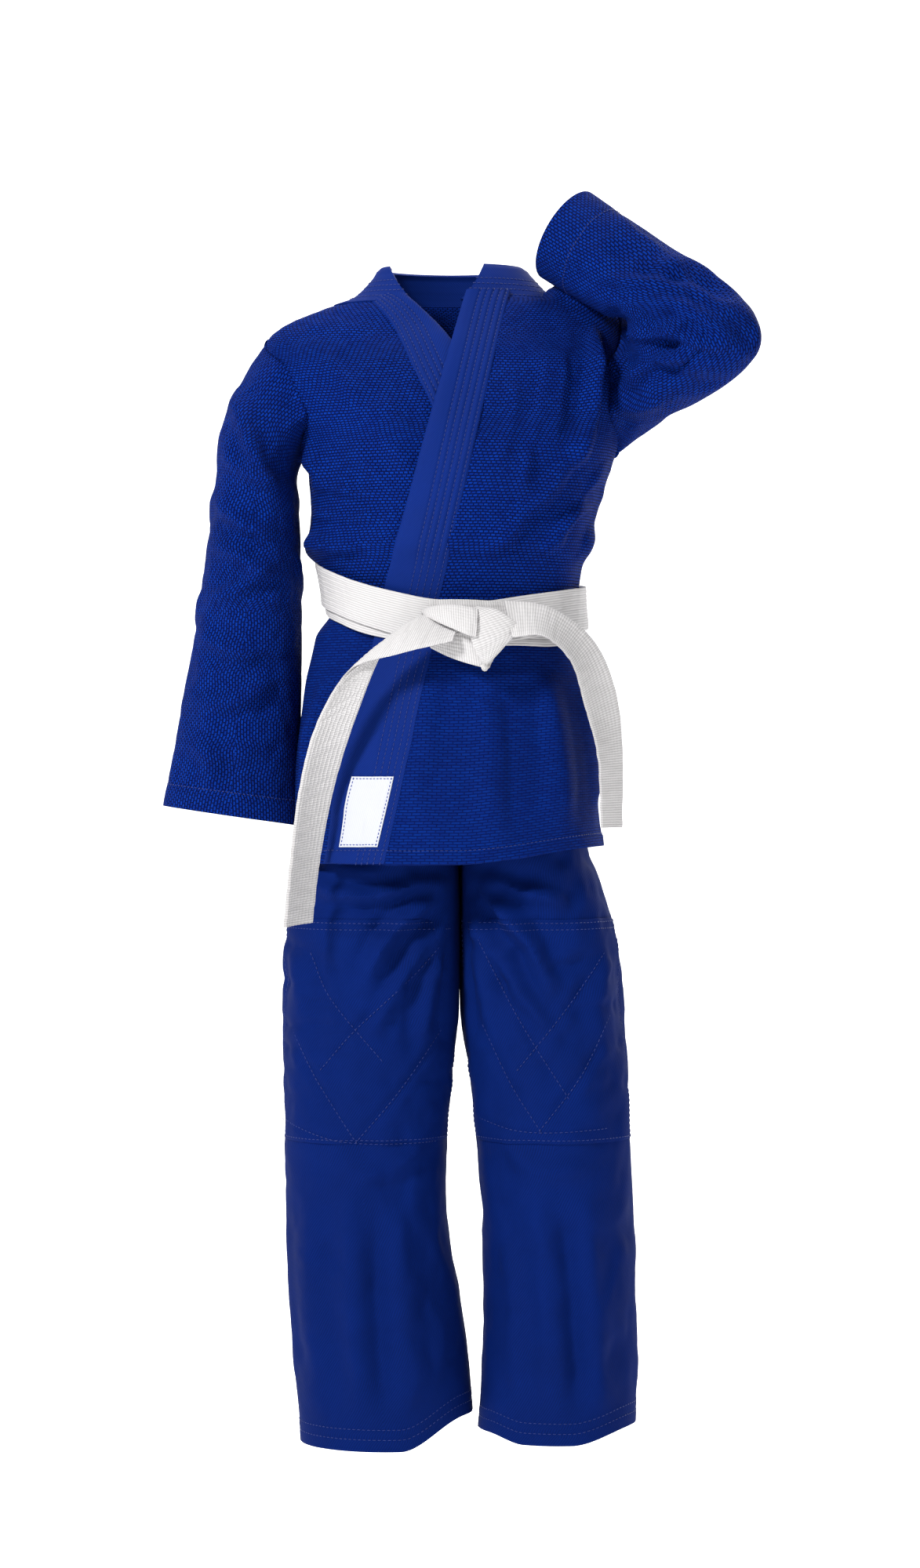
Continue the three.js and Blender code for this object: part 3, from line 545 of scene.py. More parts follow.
# lines in frame millimetres (x, height from the waist); width and height of each fold
chestFolds = {
    "right": [
        ("front", [(-196, 262), (-176, 205), (-150, 150), (-118, 112)], 9, 7.5),
        ("front", [(-186, 214), (-160, 160), (-134, 118)], 7, -4.0),
        ("front", [(-150, 122), (-110, 112), (-68, 104)], 7, 4.2),
        ("front", [(-148, 96), (-104, 84), (-66, 92)], 7, 4.0),
        ("front", [(-146, 74), (-118, 56), (-84, 58)], 8, 5.5),
        ("front", [(-138, 48), (-108, 34), (-76, 30)], 7, 4.2),
        ("front", [(-132, 262), (-98, 206), (-60, 150), (-34, 96)], 12, 3.4),
        ("front", [(-96, 250), (-66, 196), (-34, 150)], 9, 2.2),
        ("front", [(-112, 190), (-86, 140), (-60, 100)], 10, 2.2),
    ],
    "left": [
        ("front", [(160, 205), (120, 150), (70, 90), (18, 30)], 11, 4.2),
        ("front", [(158, 160), (128, 112), (92, 64), (60, 22)], 9, 3.6),
        ("front", [(142, 296), (132, 234), (122, 174), (112, 120)], 8, 5.5),
        ("front", [(153, 268), (146, 209), (134, 150)], 6, -4.0),
        ("front", [(112, 275), (104, 215), (98, 160), (92, 110)], 11, 4.0),
        ("front", [(92, 272), (84, 210), (70, 140), (48, 60)], 10, 3.6),
        ("front", [(140, 262), (134, 210), (130, 160)], 8, 4.4),
        ("front", [(156, 128), (142, 84), (118, 44)], 8, 4.2),
        ("front", [(140, 60), (104, 38), (58, 26)], 7, 3.6),
        ("front", [(62, 240), (56, 180), (40, 120)], 8, 2.2),
        ("front", [(148, 98), (120, 92), (90, 70)], 6, 2.6),
    ],
    "back": [
        ("back", [(-150, 210), (-90, 150), (-20, 118)], 14, 4.0),
        ("back", [(150, 225), (90, 160), (20, 120)], 14, 4.5),
        ("back", [(-130, 60), (-60, 40), (10, 46), (80, 36), (130, 52)], 11, 5.5),
        ("back", [(-110, 96), (-40, 80), (30, 86), (100, 76)], 10, 3.2),
        ("back", [(130, 270), (118, 210), (112, 150)], 10, 4.0),
        ("back", [(-140, 255), (-126, 200), (-118, 150)], 10, 3.4),
        ("back", [(-30, 250), (-20, 180), (-26, 110)], 12, 2.0),
    ],
}


def blouse(height, angle):
    # the cloth spills a little over the belt, most over the wearer's right hip
    turned = np.mod(angle + 180, 360) - 180
    return (4.5 + 6.5 * np.exp(-(((turned + 85) / 34) ** 2))) * np.exp(-(((height - 902) / 20) ** 2))


def leftLift(angle):
    return (jacket["overlap"] + 1.6) * (1 - smooth(angle, 48, 78))


def pressedByBelt(height):
    return smooth(height, 884, 912)


def raiseShoulder(grid):
    # the raised arm drags the top of the shoulder up behind it
    x, z = grid[..., 0] + pattern["leftShift"], grid[..., 2] - pattern["waistHeight"]
    share = smooth(x, 78, 128) * (1 - 0.3 * smooth(x, 138, 168)) * (1 - smooth(x, 176, 204))
    grid[..., 2] += 37 * share * smooth(z, 195, 290) * (1 - smooth(z, 318, 345)) * smooth(grid[..., 1], -42, 2)
    return grid


def bodyPiece(name, node, side, left, right, middle, seams, extra, seed, floor=-1.4, spacing=3.2):
    waist = jacket["waist"] + pattern["seamGap"]
    grid, angle, height = panelGrid(bodyTube, waist, jacket["neckHeight"], left, right, spacing, middle)
    grid = raiseShoulder(grid)
    normals = gridNormals(grid, False)
    free = pressedByBelt(height)
    lift = 2.0 * foldLift(grid, normals, chestFolds[side]) + crumple(grid, 62, 3.2, seed)
    lift = lift + crumple(grid, 24, 0.8, seed + 1)
    lift = keepAbove(lift, floor) * free * (1 - nearEdge(grid, seams, 6)) + blouse(height, angle) * free
    lift = lift + extra(angle, height)
    lift = lift * (1 - 0.85 * nearEdge(grid, ["top"], 14)) - 0.9 * nearEdge(grid, seams, 2.2)
    shaped = grid + normals * lift[..., None]
    piece = clothShell(name, shaped, jacket["cloth"] * 0.75, riceCotton)
    onJacket(piece, "rice_weave", node)
    asSheet(piece, grid)


gap = jacket["edgeGap"]
bodyPiece(
    "jacketBack", "jacket_back", "back", lambda h: 180 - frontSide(h) + gap,
    lambda h: 180 + frontSide(h) - gap, 150, ["left", "right"], lambda a, h: 0 * h, 11)
bodyPiece(
    "jacketFrontRight", "jacket_front_right", "right", lambda h: gap - frontSide(h),
    lambda h: rightLapelOuter(h) + 2, -60, ["left"], lambda a, h: 0 * h, 21)
bodyPiece(
    "jacketFrontLeft", "jacket_front_left", "left", lambda h: leftLapelOuter(h) - 2,
    lambda h: frontSide(h) - gap, 60, ["right"], lambda a, h: leftLift(a), 31, -0.2)
print("jacket panels ready")


def liningPiece(name, node, left, right, extra, middle):
    grid, angle, height = panelGrid(bodyTube, 969.3, 1125.3, left, right, 7, middle)
    lift = extra(angle) - jacket["cloth"] - 0.9 - 0.6 * nearEdge(grid, ["bottom"], 5)
    shaped = grid + gridNormals(grid, False) * lift[..., None]
    piece = clothShell(name, shaped, 1.2, lapelTwill)
    onJacket(piece, "lapel_twill", node)
    asSheet(piece, grid)


liningPiece("shoulderLiningBack", "shoulder_lining_back", lambda h: 180 - frontSide(h) + 1,
            lambda h: 180 + frontSide(h) - 1, lambda a: 0 * a, 150)
liningPiece("shoulderLiningRight", "shoulder_lining_right", lambda h: 1 - frontSide(h),
            rightLapelOuter, lambda a: 0 * a, -60)
liningPiece("shoulderLiningLeft", "shoulder_lining_left",
            lambda h: np.maximum(rightLapelInner(h), leftLapelOuter(h)) + 6, lambda h: frontSide(h) - 2,
            lambda a: leftLift(a) - 1.4, 60)

# ---- lapels and collar: a folded band, plain along its free edge and quilted with rows of
# stitching along the seam
lapel = {"thickness": 4.2, "proud": 2.4, "rows": [4.0, 10.5, 17.0, 23.5, 30.0], "groove": 1.25}
lapelThreads = []


def bandLift(distance, width, rows):
    # across the band from its stitched edge: rounded edges, soft channels between the rows
    edge = np.minimum(distance, width - distance)
    lift = lapel["proud"] * (1 - np.exp(-np.clip(edge, 0, None) / 2.2))
    for row in rows:
        lift = lift - lapel["groove"] * np.exp(-(((distance - row) / 1.3) ** 2))
    return lift + 0.5 * smooth(distance, rows[-1] + 2, rows[-1] + 9)


def lapelPiece(name, nodes, inner, outer, base, side, folds, seed):
    waist = jacket["waist"] + pattern["seamGap"]
    grid, angle, height = panelGrid(bodyTube, waist, jacket["neckHeight"] + 0.3, inner, outer, 1.5)
    grid = grid[::2]
    angle, height = angle[::2], height[::2]
    normals = gridNormals(grid, False)
    across = np.linalg.norm(np.diff(grid, axis=1), axis=2)
    run = np.concatenate([np.zeros((len(grid), 1)), np.cumsum(across, 1)], 1)
    width = run[:, -1:]
    distance = run if side == "right" else width - run
    lift = base + bandLift(distance, width, lapel["rows"]) * smooth(height, 868, 910)
    lift = lift + (foldLift(grid, normals, folds) + crumple(grid, 70, 0.8, seed)) * pressedByBelt(height)
    lift = lift + blouse(height, angle) * pressedByBelt(height) * 0.8
    shaped = grid + normals * lift[..., None]
    piece = clothShell(name, shaped, lapel["thickness"], lapelTwill)
    onJacket(piece, "lapel_twill", *nodes)
    asSheet(piece, grid)
    shapedNormals = gridNormals(shaped, False)
    rows = np.arange(len(grid))
    for row in lapel["rows"]:
        columns = [np.interp(row, d[order], np.arange(len(d))[order]) for d in distance
                   for order in [np.argsort(d)]]
        lapelThreads.append(gridLine(shaped, shapedNormals, rows, columns, 0.0003))


lapelPiece("lapelLeft", ["lapel_left"], leftLapelInner, leftLapelOuter, jacket["overlap"] + 2.0, "left",
           [("front", [(60, 250), (30, 180), (-20, 90), (-46, 44)], 16, 1.4)], 41)
lapelPiece("lapelRight", ["lapel_right"], rightLapelOuter, rightLapelInner, 0.2, "right",
           [("front", [(-80, 280), (-40, 220), (0, 150)], 14, 1.2)], 42)

collarTube = uprightTube([
    (-12.2, 9, 1151, 121, 61.5), (-10, 10, 1160, 98, 58), (-10, 13, 1178, 80, 51), (-11, 16, 1192, 73, 47)])
collarRows = (0.14, 0.28, 0.42, 0.56)


def collarPiece():
    grid, angle, height = panelGrid(
        collarTube, 1152, 1192, lambda h: mix(9, 26, (h - 1160) / 32),
        lambda h: mix(331, 300, (h - 1160) / 32), 2.4, 180)
    normals = gridNormals(grid, False)
    share = np.linspace(0, 1, len(grid))[:, None]
    lift = 1.8 + 1.6 * np.sin(np.pi * share) - 2.2 * smooth(share, 0.86, 1)
    for row in collarRows:
        lift = lift - 0.6 * np.exp(-(((share - row) / 0.035) ** 2))
    shaped = grid + normals * (lift + crumple(grid, 60, 0.6, 51))[..., None]
    piece = clothShell("collarBand", shaped, lapel["thickness"], lapelTwill)
    onJacket(piece, "lapel_twill", "collar_band")
    asSheet(piece, grid)
    shapedNormals = gridNormals(shaped, False)
    columns = np.arange(shaped.shape[1])
    for row in collarRows:
        rows = 0 * columns + row * (len(grid) - 1)
        lapelThreads.append(gridLine(shaped, shapedNormals, rows, columns, 0.0003))


collarPiece()
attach(stitches("lapelStitches", lapelThreads, darkThread, 0.0046, 0.0034, 0.001), "jacket")
print("lapels ready")

# ---- skirt of the jacket
hem = {"depth": 13, "extra": 1.8}
skirt = {"bottom": 590, "top": 848, "thickness": 2.2}
skirtTube = uprightTube([
    (-14, 0, 560, 158.8 + 3.6, 133 + 3.6), (-14, 0, 590, 156, 129), (-13, 0, 665, 149, 119), (-11, 0, 750, 141, 109),
    (-9, 0, 815, 130, 101), (-8, 0, 848, 124, 95), (-9, 0, 870, 127, 99),
])


def skirtEdge(height):
    return mix(-133, -78, (height - skirt["bottom"]) / (skirt["top"] - skirt["bottom"]))


skirtFolds = {
    "left": [
        ("front", [(20, -60), (30, -140), (34, -250)], 16, 3.0),
        ("front", [(84, -60), (100, -150), (108, -252)], 15, 3.8),
        ("front", [(120, -56), (138, -140), (150, -240)], 10, 3.0),
        ("front", [(60, -70), (66, -160), (62, -256)], 12, -2.4),
        ("front", [(-20, -52), (-30, -130), (-40, -240)], 14, 2.2),
        ("front", [(-10, -54), (30, -74), (90, -66)], 9, 2.2),
    ],
    "right": [
        ("front", [(-120, -60), (-140, -140), (-150, -240)], 10, 4.0),
        ("front", [(-100, -62), (-116, -150), (-118, -250)], 10, -2.5),
        ("right", [(-50, -70), (-56, -150), (-60, -250)], 12, 3.4),
    ],
    "back": [
        ("back", [(-90, -40), (-104, -140), (-112, -252)], 16, 4.6),
        ("back", [(-34, -40), (-40, -140), (-46, -254)], 17, 4.0),
        ("back", [(24, -40), (30, -140), (30, -254)], 17, 3.6),
        ("back", [(84, -40), (96, -140), (108, -252)], 16, 4.6),
    ],
}


def hemShape(height, lift):
    # the turned-up hem: a double edge with a stitched line above it
    up = height - skirt["bottom"]
    return lift + 0.7 * (1 - smooth(up, hem["depth"] - 1.5, hem["depth"] + 0.5)) - 0.5 * np.exp(
        -(((up - hem["depth"]) / 1.2) ** 2))


skirtThreads = {"jacket": [], "skirt_back_flap": []}


def skirtPiece(
        name, nodes, side, left, right, extra, seams, seed, body, material, rows=None, middle=0, spacing=3.4):
    waist = skirt["top"] - pattern["seamGap"]
    grid, angle, height = panelGrid(skirtTube, skirt["bottom"], waist, left, right, spacing, middle)
    # the wearer's right hip fills the skirt; the raised arm draws the hem up on the other side
    hip = smooth(height, 590, 690) * (1 - smooth(height, 815, 845))
    grid[..., 0] -= 11 * smooth(-grid[..., 0], 80, 135) * hip
    grid[..., 2] += 17 * smooth(grid[..., 0], -10, 150) * (1 - smooth(height, 590, 790))
    normals = gridNormals(grid, False)
    free = 1 - smooth(height, 770, 800)
    lift = 1.9 * foldLift(grid, normals, skirtFolds[side]) + crumple(grid, 75, 2.8, seed)
    lift = keepAbove(lift, -1.0) * free
    lift = lift + extra(angle)
    if rows:
        across = np.linalg.norm(np.diff(grid, axis=1), axis=2)
        run = np.concatenate([np.zeros((len(grid), 1)), np.cumsum(across, 1)], 1)
        lift = lift + bandLift(run[:, -1:] - run, run[:, -1:], rows) * free * 0.6
    lift = hemShape(height, lift) - 0.5 * nearEdge(grid, seams, 2.2)
    shaped = grid + normals * lift[..., None]
    hemTop = skirt["bottom"] + hem["depth"]
    thick = skirt["thickness"] + hem["extra"] * (1 - smooth(height, hemTop - 1, hemTop))
    piece = clothShell(name, shaped, thick, material)
    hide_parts(*nodes)
    asSheet(piece, grid)
    shapedNormals = gridNormals(shaped, False)
    columns = np.arange(shaped.shape[1])
    hemRow = np.interp(hemTop, height[:, 0], np.arange(len(height)))
    skirtThreads[body].append(gridLine(shaped, shapedNormals, 0 * columns + hemRow, columns, 0.0002))
    if rows:
        upTo = np.arange(int(np.interp(800, height[:, 0], np.arange(len(height)))))
        distance = run[:, -1:] - run
        for row in rows:
            at = [np.interp(row, distance[k][::-1], np.arange(grid.shape[1])[::-1]) for k in upTo]
            skirtThreads[body].append(gridLine(shaped, shapedNormals, upTo, at, 0.0003))
    return piece, shaped, shapedNormals


def flatLift(angle):
    return 0 * angle


def skirtLift(angle):
    return jacket["overlap"] * (1 - smooth(angle, 46, 80))


vent = jacket["ventAngle"]
leftSkirt = skirtPiece(
    "skirtFrontLeft", ["skirt_front_left", "skirt_hem_left"], "left",
    lambda h: angleAt(skirtTube, skirtEdge(h) + 57, h), vent, skirtLift, ["right"], 61, "jacket", skirtCotton)
lapelSkirt = skirtPiece(
    "skirtLapelLeft", ["skirt_lapel_left"], "left", lambda h: angleAt(skirtTube, skirtEdge(h), h),
    lambda h: angleAt(skirtTube, skirtEdge(h) + 58, h), lambda a: 0 * a + jacket["overlap"] + 0.4, [], 61, "jacket",
    lapelTwill, lapel["rows"], 0, 1.6)
rightSkirt = skirtPiece(
    "skirtFrontRight", ["skirt_front_right", "skirt_hem_right"], "right", -vent,
    lambda h: mix(12, 26, (h - skirt["bottom"]) / (skirt["top"] - skirt["bottom"])), flatLift, ["left"],
    62, "jacket", skirtCotton, None, -50)
backSkirt = skirtPiece(
    "skirtBack", ["skirt_back", "skirt_back_top", "skirt_hem_back"], "back", 180 - vent, 180 + vent,
    flatLift, ["left", "right"], 63, "skirt_back_flap", skirtCotton, None, 180)
for made in (leftSkirt, lapelSkirt, rightSkirt):
    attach(made[0], "jacket")
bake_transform(backSkirt[0])
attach(stitches("skirtStitches", skirtThreads["jacket"], darkThread, 0.0046, 0.0034, 0.001), "jacket")
backStitches = stitches("skirtBackStitches", skirtThreads["skirt_back_flap"], darkThread)
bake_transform(backStitches)

for name, node, middle in (("ventStayLeft", "vent_stay_left", 90), ("ventStayRight", "vent_stay_right", -90)):
    grid, angle, height = panelGrid(skirtTube, 792, 818, middle - 12, middle + 12, 3, middle)
    stay = clothShell(name, grid + gridNormals(grid, False) * -4.4, 1.2, lapelTwill)
    onJacket(stay, "lapel_twill", node)
    asSheet(stay, grid)
print("skirt ready")

# ---- woven patch, left blank, with a line of stitching round it
patch = {"width": 43, "height": 71, "inset": 2.2}


def patchPiece():
    # laid over the lapel it is sewn to, so it leans and bends with it
    under, facing = lapelSkirt[1], lapelSkirt[2]
    across = np.linalg.norm(np.diff(under, axis=1), axis=2).mean()
    upward = np.linalg.norm(np.diff(under, axis=0), axis=2).mean()
    low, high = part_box("woven_patch")
    x, z = (low.x + high.x) / 2, (low.z + high.z) / 2
    framed = place(under)
    row = int(np.abs(framed[:, 0, 2] - z).argmin())
    column = int(np.abs(framed[row, :, 0] - x).argmin())
    half = (patch["width"] / 2, patch["height"] / 2)
    v, u = np.meshgrid(np.linspace(-1, 1, 34), np.linspace(-1, 1, 22), indexing="ij")
    rows, columns = row + v * half[1] / upward, column + u * half[0] / across
    top = gridLine(under, facing, rows.ravel(), columns.ravel(), 0.0014).reshape(*u.shape, 3)
    top = (top - [0, 0, waistLevel]) * 1000 + [-pattern["leftShift"], 0, pattern["waistHeight"]]
    edge = np.minimum((1 - np.abs(u)) * half[0], (1 - np.abs(v)) * half[1])
    sewn = np.exp(-(((edge - patch["inset"]) / 0.8) ** 2)) + 0.5 * np.exp(-edge / 0.5)
    top = top - gridNormals(top, False) * (0.35 * sewn)[..., None]
    piece = clothShell("wovenPatch", top, 1.1, patchWeave)
    onJacket(piece, "patch_weave", "woven_patch")
    asSheet(piece, top)
    ring = [(-1, -1), (1, -1), (1, 1), (-1, 1), (-1, -1)]
    reach = (1 - patch["inset"] / half[0], 1 - patch["inset"] / half[1])
    line = []
    for (a, b), (c, d) in zip(ring, ring[1:]):
        t = np.linspace(0, 1, 16)
        line.append(gridLine(under, facing, row + mix(b, d, t) * reach[1] * half[1] / upward,
                             column + mix(a, c, t) * reach[0] * half[0] / across, 0.00125))
    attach(stitches("patchStitches", line, blueThread, 0.0036, 0.0026, 0.0009), "jacket")


patchPiece()

# ---- sleeves
sleeveRings = {
    "right": [
        ((-176, 3, 1064), (-24, 0, 52), (0, -66, 0)), ((-205, 3, 1016), (-37, 0, 32), (0, -66, 0)),
        ((-208, 3, 962), (-43, 0, 10), (0, -68, 0)), ((-212, 4, 890), (-49, 0, 6), (0, -63, 0)),
        ((-219, 3, 800), (-56, 0, 4), (0, -55, 0)), ((-227, 1, 715), (-63, 0, 6), (0, -48, 0)),
        ((-233, 0, 637), (-69, 0, 10), (0, -42, 0))],
    "left": [
        ((161, 3, 1074), (-4, 0, 60), (0, -66, 0)), ((189, -22, 1079), (-13, 6, 45), (-20, -52, -8)),
        ((219, -58, 1097), (-44, 28, 30), (-30, -36, -14)), ((229, -77, 1116), (-57, 42, 16), (-30, -33, -16)),
        ((215, -78, 1143), (-46, 42, -2), (-30, -33, -16)), ((164, -52, 1177), (-14, 27, -34), (-30, -33, -16)),
        ((104, -20, 1221), (-12, 26, -38), (-28, -31, -15))],
}
sleeve = {
    "right": {
        "sign": -1, "crumple": 0.7, "head": 0.25, "split": 0.45, "seed": 71,
        "body": ["right_upper_sleeve", "right_lower_sleeve"],
        "shoulder": {"start": (-0.152, 0, 0.152), "end": (-0.186, 0, 0.093)},
        "elbow": {"start": (-0.204, 0.004, 0.055), "end": (-0.21, 0.004, -0.02)},
        "folds": [
            ("front", [(-244, 250), (-214, 190), (-196, 140), (-170, 96)], 9, 5.5),
            ("front", [(-238, 160), (-206, 128), (-168, 116)], 7, 4.2),
            ("front", [(-250, 120), (-216, 84), (-172, 66)], 8, 5.0),
            ("front", [(-254, 66), (-220, 52), (-176, 20)], 8, 5.0),
            ("front", [(-168, 56), (-214, 18), (-262, 4)], 8, 4.6),
            ("front", [(-266, -20), (-226, -44), (-180, -50)], 8, 4.4),
            ("front", [(-176, -70), (-220, -96), (-278, -92)], 9, 4.2),
            ("front", [(-282, -130), (-240, -150), (-186, -142)], 9, 3.2),
            ("front", [(-250, -90), (-246, -150), (-240, -200)], 10, 2.6),
            ("back", [(-244, 200), (-206, 150), (-170, 120)], 9, 4.5),
            ("back", [(-250, 90), (-210, 60), (-172, 64)], 8, 4.5),
            ("back", [(-256, 20), (-214, 4), (-174, 16)], 8, 4.5),
            ("back", [(-272, -60), (-226, -76), (-180, -60)], 9, 4.0),
            ("right", [(-30, 120), (10, 90), (40, 60)], 8, 4.0),
            ("right", [(-30, 20), (10, -10), (36, -20)], 8, 4.0),
            ("left", [(-30, 60), (0, 30), (30, 10)], 8, 3.5),
        ]},
    "left": {
        "sign": 1, "crumple": 1.3, "head": 0.165, "split": 0.33, "seed": 81,
        "body": ["left_upper_sleeve", "left_lower_sleeve"],
        "shoulder": {"start": (0.172, 0, 0.263), "end": (0.193, -0.0135, 0.2795)},
        "elbow": {"start": (0.231, -0.087, 0.249), "end": (0.228, -0.092, 0.265)},
        "folds": [
            ("front", [(132, 326), (165, 316), (204, 313), (232, 300)], 6, 4.5),
            ("front", [(163, 290), (187, 264), (212, 267), (230, 286)], 6, 6.0),
            ("front", [(196, 262), (206, 250), (220, 248)], 6, -6.0),
            ("front", [(160, 199), (180, 229), (214, 241), (236, 234)], 6, 5.5),
            ("front", [(160, 292), (152, 270), (148, 246)], 7, -7.0),
            (None, [(217, 321), (234, 293), (243, 268), (239, 244), (214, 224), (190, 194)], 2.2, -1.8),
            ("front", [(140, 296), (152, 262), (156, 224)], 6, 4.5),
            ("front", [(166, 286), (168, 256), (160, 220)], 5, -4.5),
            ("front", [(178, 280), (184, 244), (176, 206)], 6, 4.5),
            ("front", [(160, 200), (186, 196), (214, 206)], 7, 4.0),
            ("front", [(186, 300), (224, 288), (262, 262)], 7, 4.6),
            ("front", [(190, 312), (236, 318), (274, 290)], 7, -3.4),
            ("front", [(196, 326), (230, 338), (264, 320)], 7, 4.0),
            ("front", [(200, 270), (232, 254), (270, 246)], 6, 3.8),
            ("front", [(150, 392), (180, 366), (214, 336)], 8, 3.4),
            ("back", [(190, 300), (230, 270), (262, 262)], 8, 4.5),
            ("back", [(150, 260), (190, 240), (230, 232)], 8, 4.0),
            ("back", [(190, 350), (230, 330), (266, 300)], 8, 4.0),
        ]},
}
cuff = {"depth": 22, "extra": 1.6}


def sleeveGrid(tube, side, spacing=3.4):
    rows = int(tube["run"] / spacing) + 1
    columns = 108
    along = np.linspace(0, 1, rows)[:, None] * np.ones(columns)
    angle = np.ones((rows, 1)) * np.arange(columns) * 360 / columns
    grid = onTube(tube, angle, along)
    facts = sleeve[side]
    up = (1 + np.sin(np.radians(angle[0]))) / 2
    front = np.cos(np.radians(angle[0]))
    height = mix(jacket["armholeBottom"], jacket["armholeTop"] - 2, up)
    seam = np.where(front >= 0, frontSide(height), 180 - frontSide(height))
    contour = onTube(bodyTube, facts["sign"] * seam, alongAt(bodyTube, height))
    share = smooth(along, 0, facts["head"])[..., None]
    grid = contour * (1 - share) + grid * share
    # seam allowance turned in under the edge of the armhole
    middle = (jacket["armholeBottom"] + jacket["armholeTop"]) / 2
    wide = middle + (height - middle) * 1.09
    turnedIn = facts["sign"] * (seam - 4.5 * np.sign(front) * np.abs(front) ** 0.5)
    inside = onTube(bodyTube, turnedIn, alongAt(bodyTube, wide))
    core = throughPoints(bodyTube["centre"], alongAt(bodyTube, wide))
    inside = inside + (core - inside) / np.linalg.norm(core - inside, axis=1, keepdims=True) * 3.2
    inward = (core - inside) / np.linalg.norm(core - inside, axis=1, keepdims=True)
    grid[0], grid[1] = inside, contour + inward * 0.7
    return grid, along


def sleevePieces(side):
    facts = sleeve[side]
    tube = makeTube(sleeveRings[side])
    tube["run"] = np.linalg.norm(np.diff(throughPoints(tube["centre"], tube["shares"]), axis=0), axis=1).sum()
    whole, along = sleeveGrid(tube, side)
    fromShoulder = 1 - smooth(along, 0.2, 0.45)
    whole[..., 2] += (raiseShoulder(whole.copy()) - whole)[..., 2] * fromShoulder
    centre = throughPoints(tube["centre"], along)
    flip = bool(((gridNormals(whole, True) * (whole - centre)).sum(2)).mean() < 0)
    normals = gridNormals(whole, True, flip)
    fromCuff = (1 - along) * tube["run"]
    start = smooth(along, 0.0, 0.06)
    lift = 1.6 * foldLift(whole, normals, facts["folds"]) + facts["crumple"] * crumple(whole, 50, 3.0, facts["seed"])
    lift = (lift + crumple(whole, 22, 1.1, facts["seed"] + 1)) * (0.35 + 0.65 * np.abs(normals[..., 1])) - 1.2
    lift = lift * start * smooth(fromCuff, 0, 40) - 0.6 + 1.4 * start
    lift = lift + 0.6 * (1 - smooth(fromCuff, cuff["depth"] - 1.5, cuff["depth"])) - 0.7 * np.exp(
        -(((fromCuff - cuff["depth"]) / 1.4) ** 2))
    shaped = whole + normals * lift[..., None]
    shapedNormals = gridNormals(shaped, True, flip)
    thick = 2.2 + cuff["extra"] * (1 - smooth(fromCuff, cuff["depth"] - 1, cuff["depth"]))
    cut = int(round(facts["split"] * (len(whole) - 1)))
    nodes = "sleeve_" + side
    upper = clothShell("sleeveUpper" + side.title(), shaped[: cut + 1], thick[: cut + 1], sleeveCotton, True, flip)
    lower = clothShell("sleeveLower" + side.title(), shaped[cut:], thick[cut:], sleeveCotton, True, flip)
    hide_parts("sleeve_head_" + side, nodes + "_upper")
    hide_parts(nodes + "_elbow", nodes + "_lower", "cuff_" + side)
    for piece, part in ((upper, whole[: cut + 1]), (lower, whole[cut:])):
        asSheet(piece, part, True)
    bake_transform(upper)
    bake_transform(lower)
    closed = np.concatenate([shaped, shaped[:, :1]], 1)
    closedNormals = np.concatenate([shapedNormals, shapedNormals[:, :1]], 1)
    columns = np.arange(closed.shape[1])
    row = (1 - cuff["depth"] / tube["run"]) * (len(whole) - 1)
    line = gridLine(closed, closedNormals, 0 * columns + row, columns, 0.0002)
    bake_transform(stitches("cuffStitches" + side.title(), [line], darkThread))


sleevePieces("right")
sleevePieces("left")
print("sleeves ready")

# ---- trousers
trousers = {"cloth": 2.0, "legTop": 634, "split": 402, "patchTop": 535, "patchBottom": 312, "hemRows": [12, 22]}
hipTube = uprightTube([
    (-12, 0, 585, 158, 98), (-12, 0, 634, 136, 101), (-10, 0, 719.9, 126, 95), (-8, 0, 800, 117, 88),
    (-8, 0, 842, 120, 91), (-8, 0, 880, 121, 92),
])
legTubes = {
    "right": uprightTube([
        (-77, 2, 4, 87, 77), (-81, 2, 60.2, 87, 77), (-89, 1, 150.3, 85, 77), (-98, 0, 260, 81, 79),
        (-95, 0, 400, 86, 83), (-91, 0, 520, 86, 89), (-82, 0, 600, 73, 88), (-76, 0, 634, 66, 90)]),
    "left": uprightTube([
        (95, 2, 10, 80, 77), (97, 2, 60.2, 79, 77), (97, 1, 150.3, 77, 77), (94, 0, 260, 77, 79),
        (84, 0, 400, 80, 83), (76, 0, 520, 77, 89), (63, 0, 600, 65, 88), (58, 0, 634, 60, 90)]),
}


def ringGrid(tube, bottom, top, columns, spacing):
    rows = int((top - bottom) / spacing) + 1
    height = np.linspace(bottom, top, rows)[:, None] * np.ones(columns)
    angle = np.ones((rows, 1)) * np.arange(columns) * 360 / columns
    return meetInside(onTube(tube, angle, alongAt(tube, height)), height), angle, height


def insideLeg(grid, height):
    # distance from the winding line where the two legs lie together, and how near it is
    away = grid[..., 0] + 4.2 + 3.0 * np.sin(grid[..., 1] / 13)
    return away, np.exp(-((away / 16) ** 2)) * smooth(height, 380, 440) * (height < trousers["legTop"])


def meetInside(grid, height):
    # the soft legs lie together from the crotch to the knee
    away, near = insideLeg(grid, height)
    grid[..., 0] -= near * (away - np.sign(away) * 0.6)
    return grid


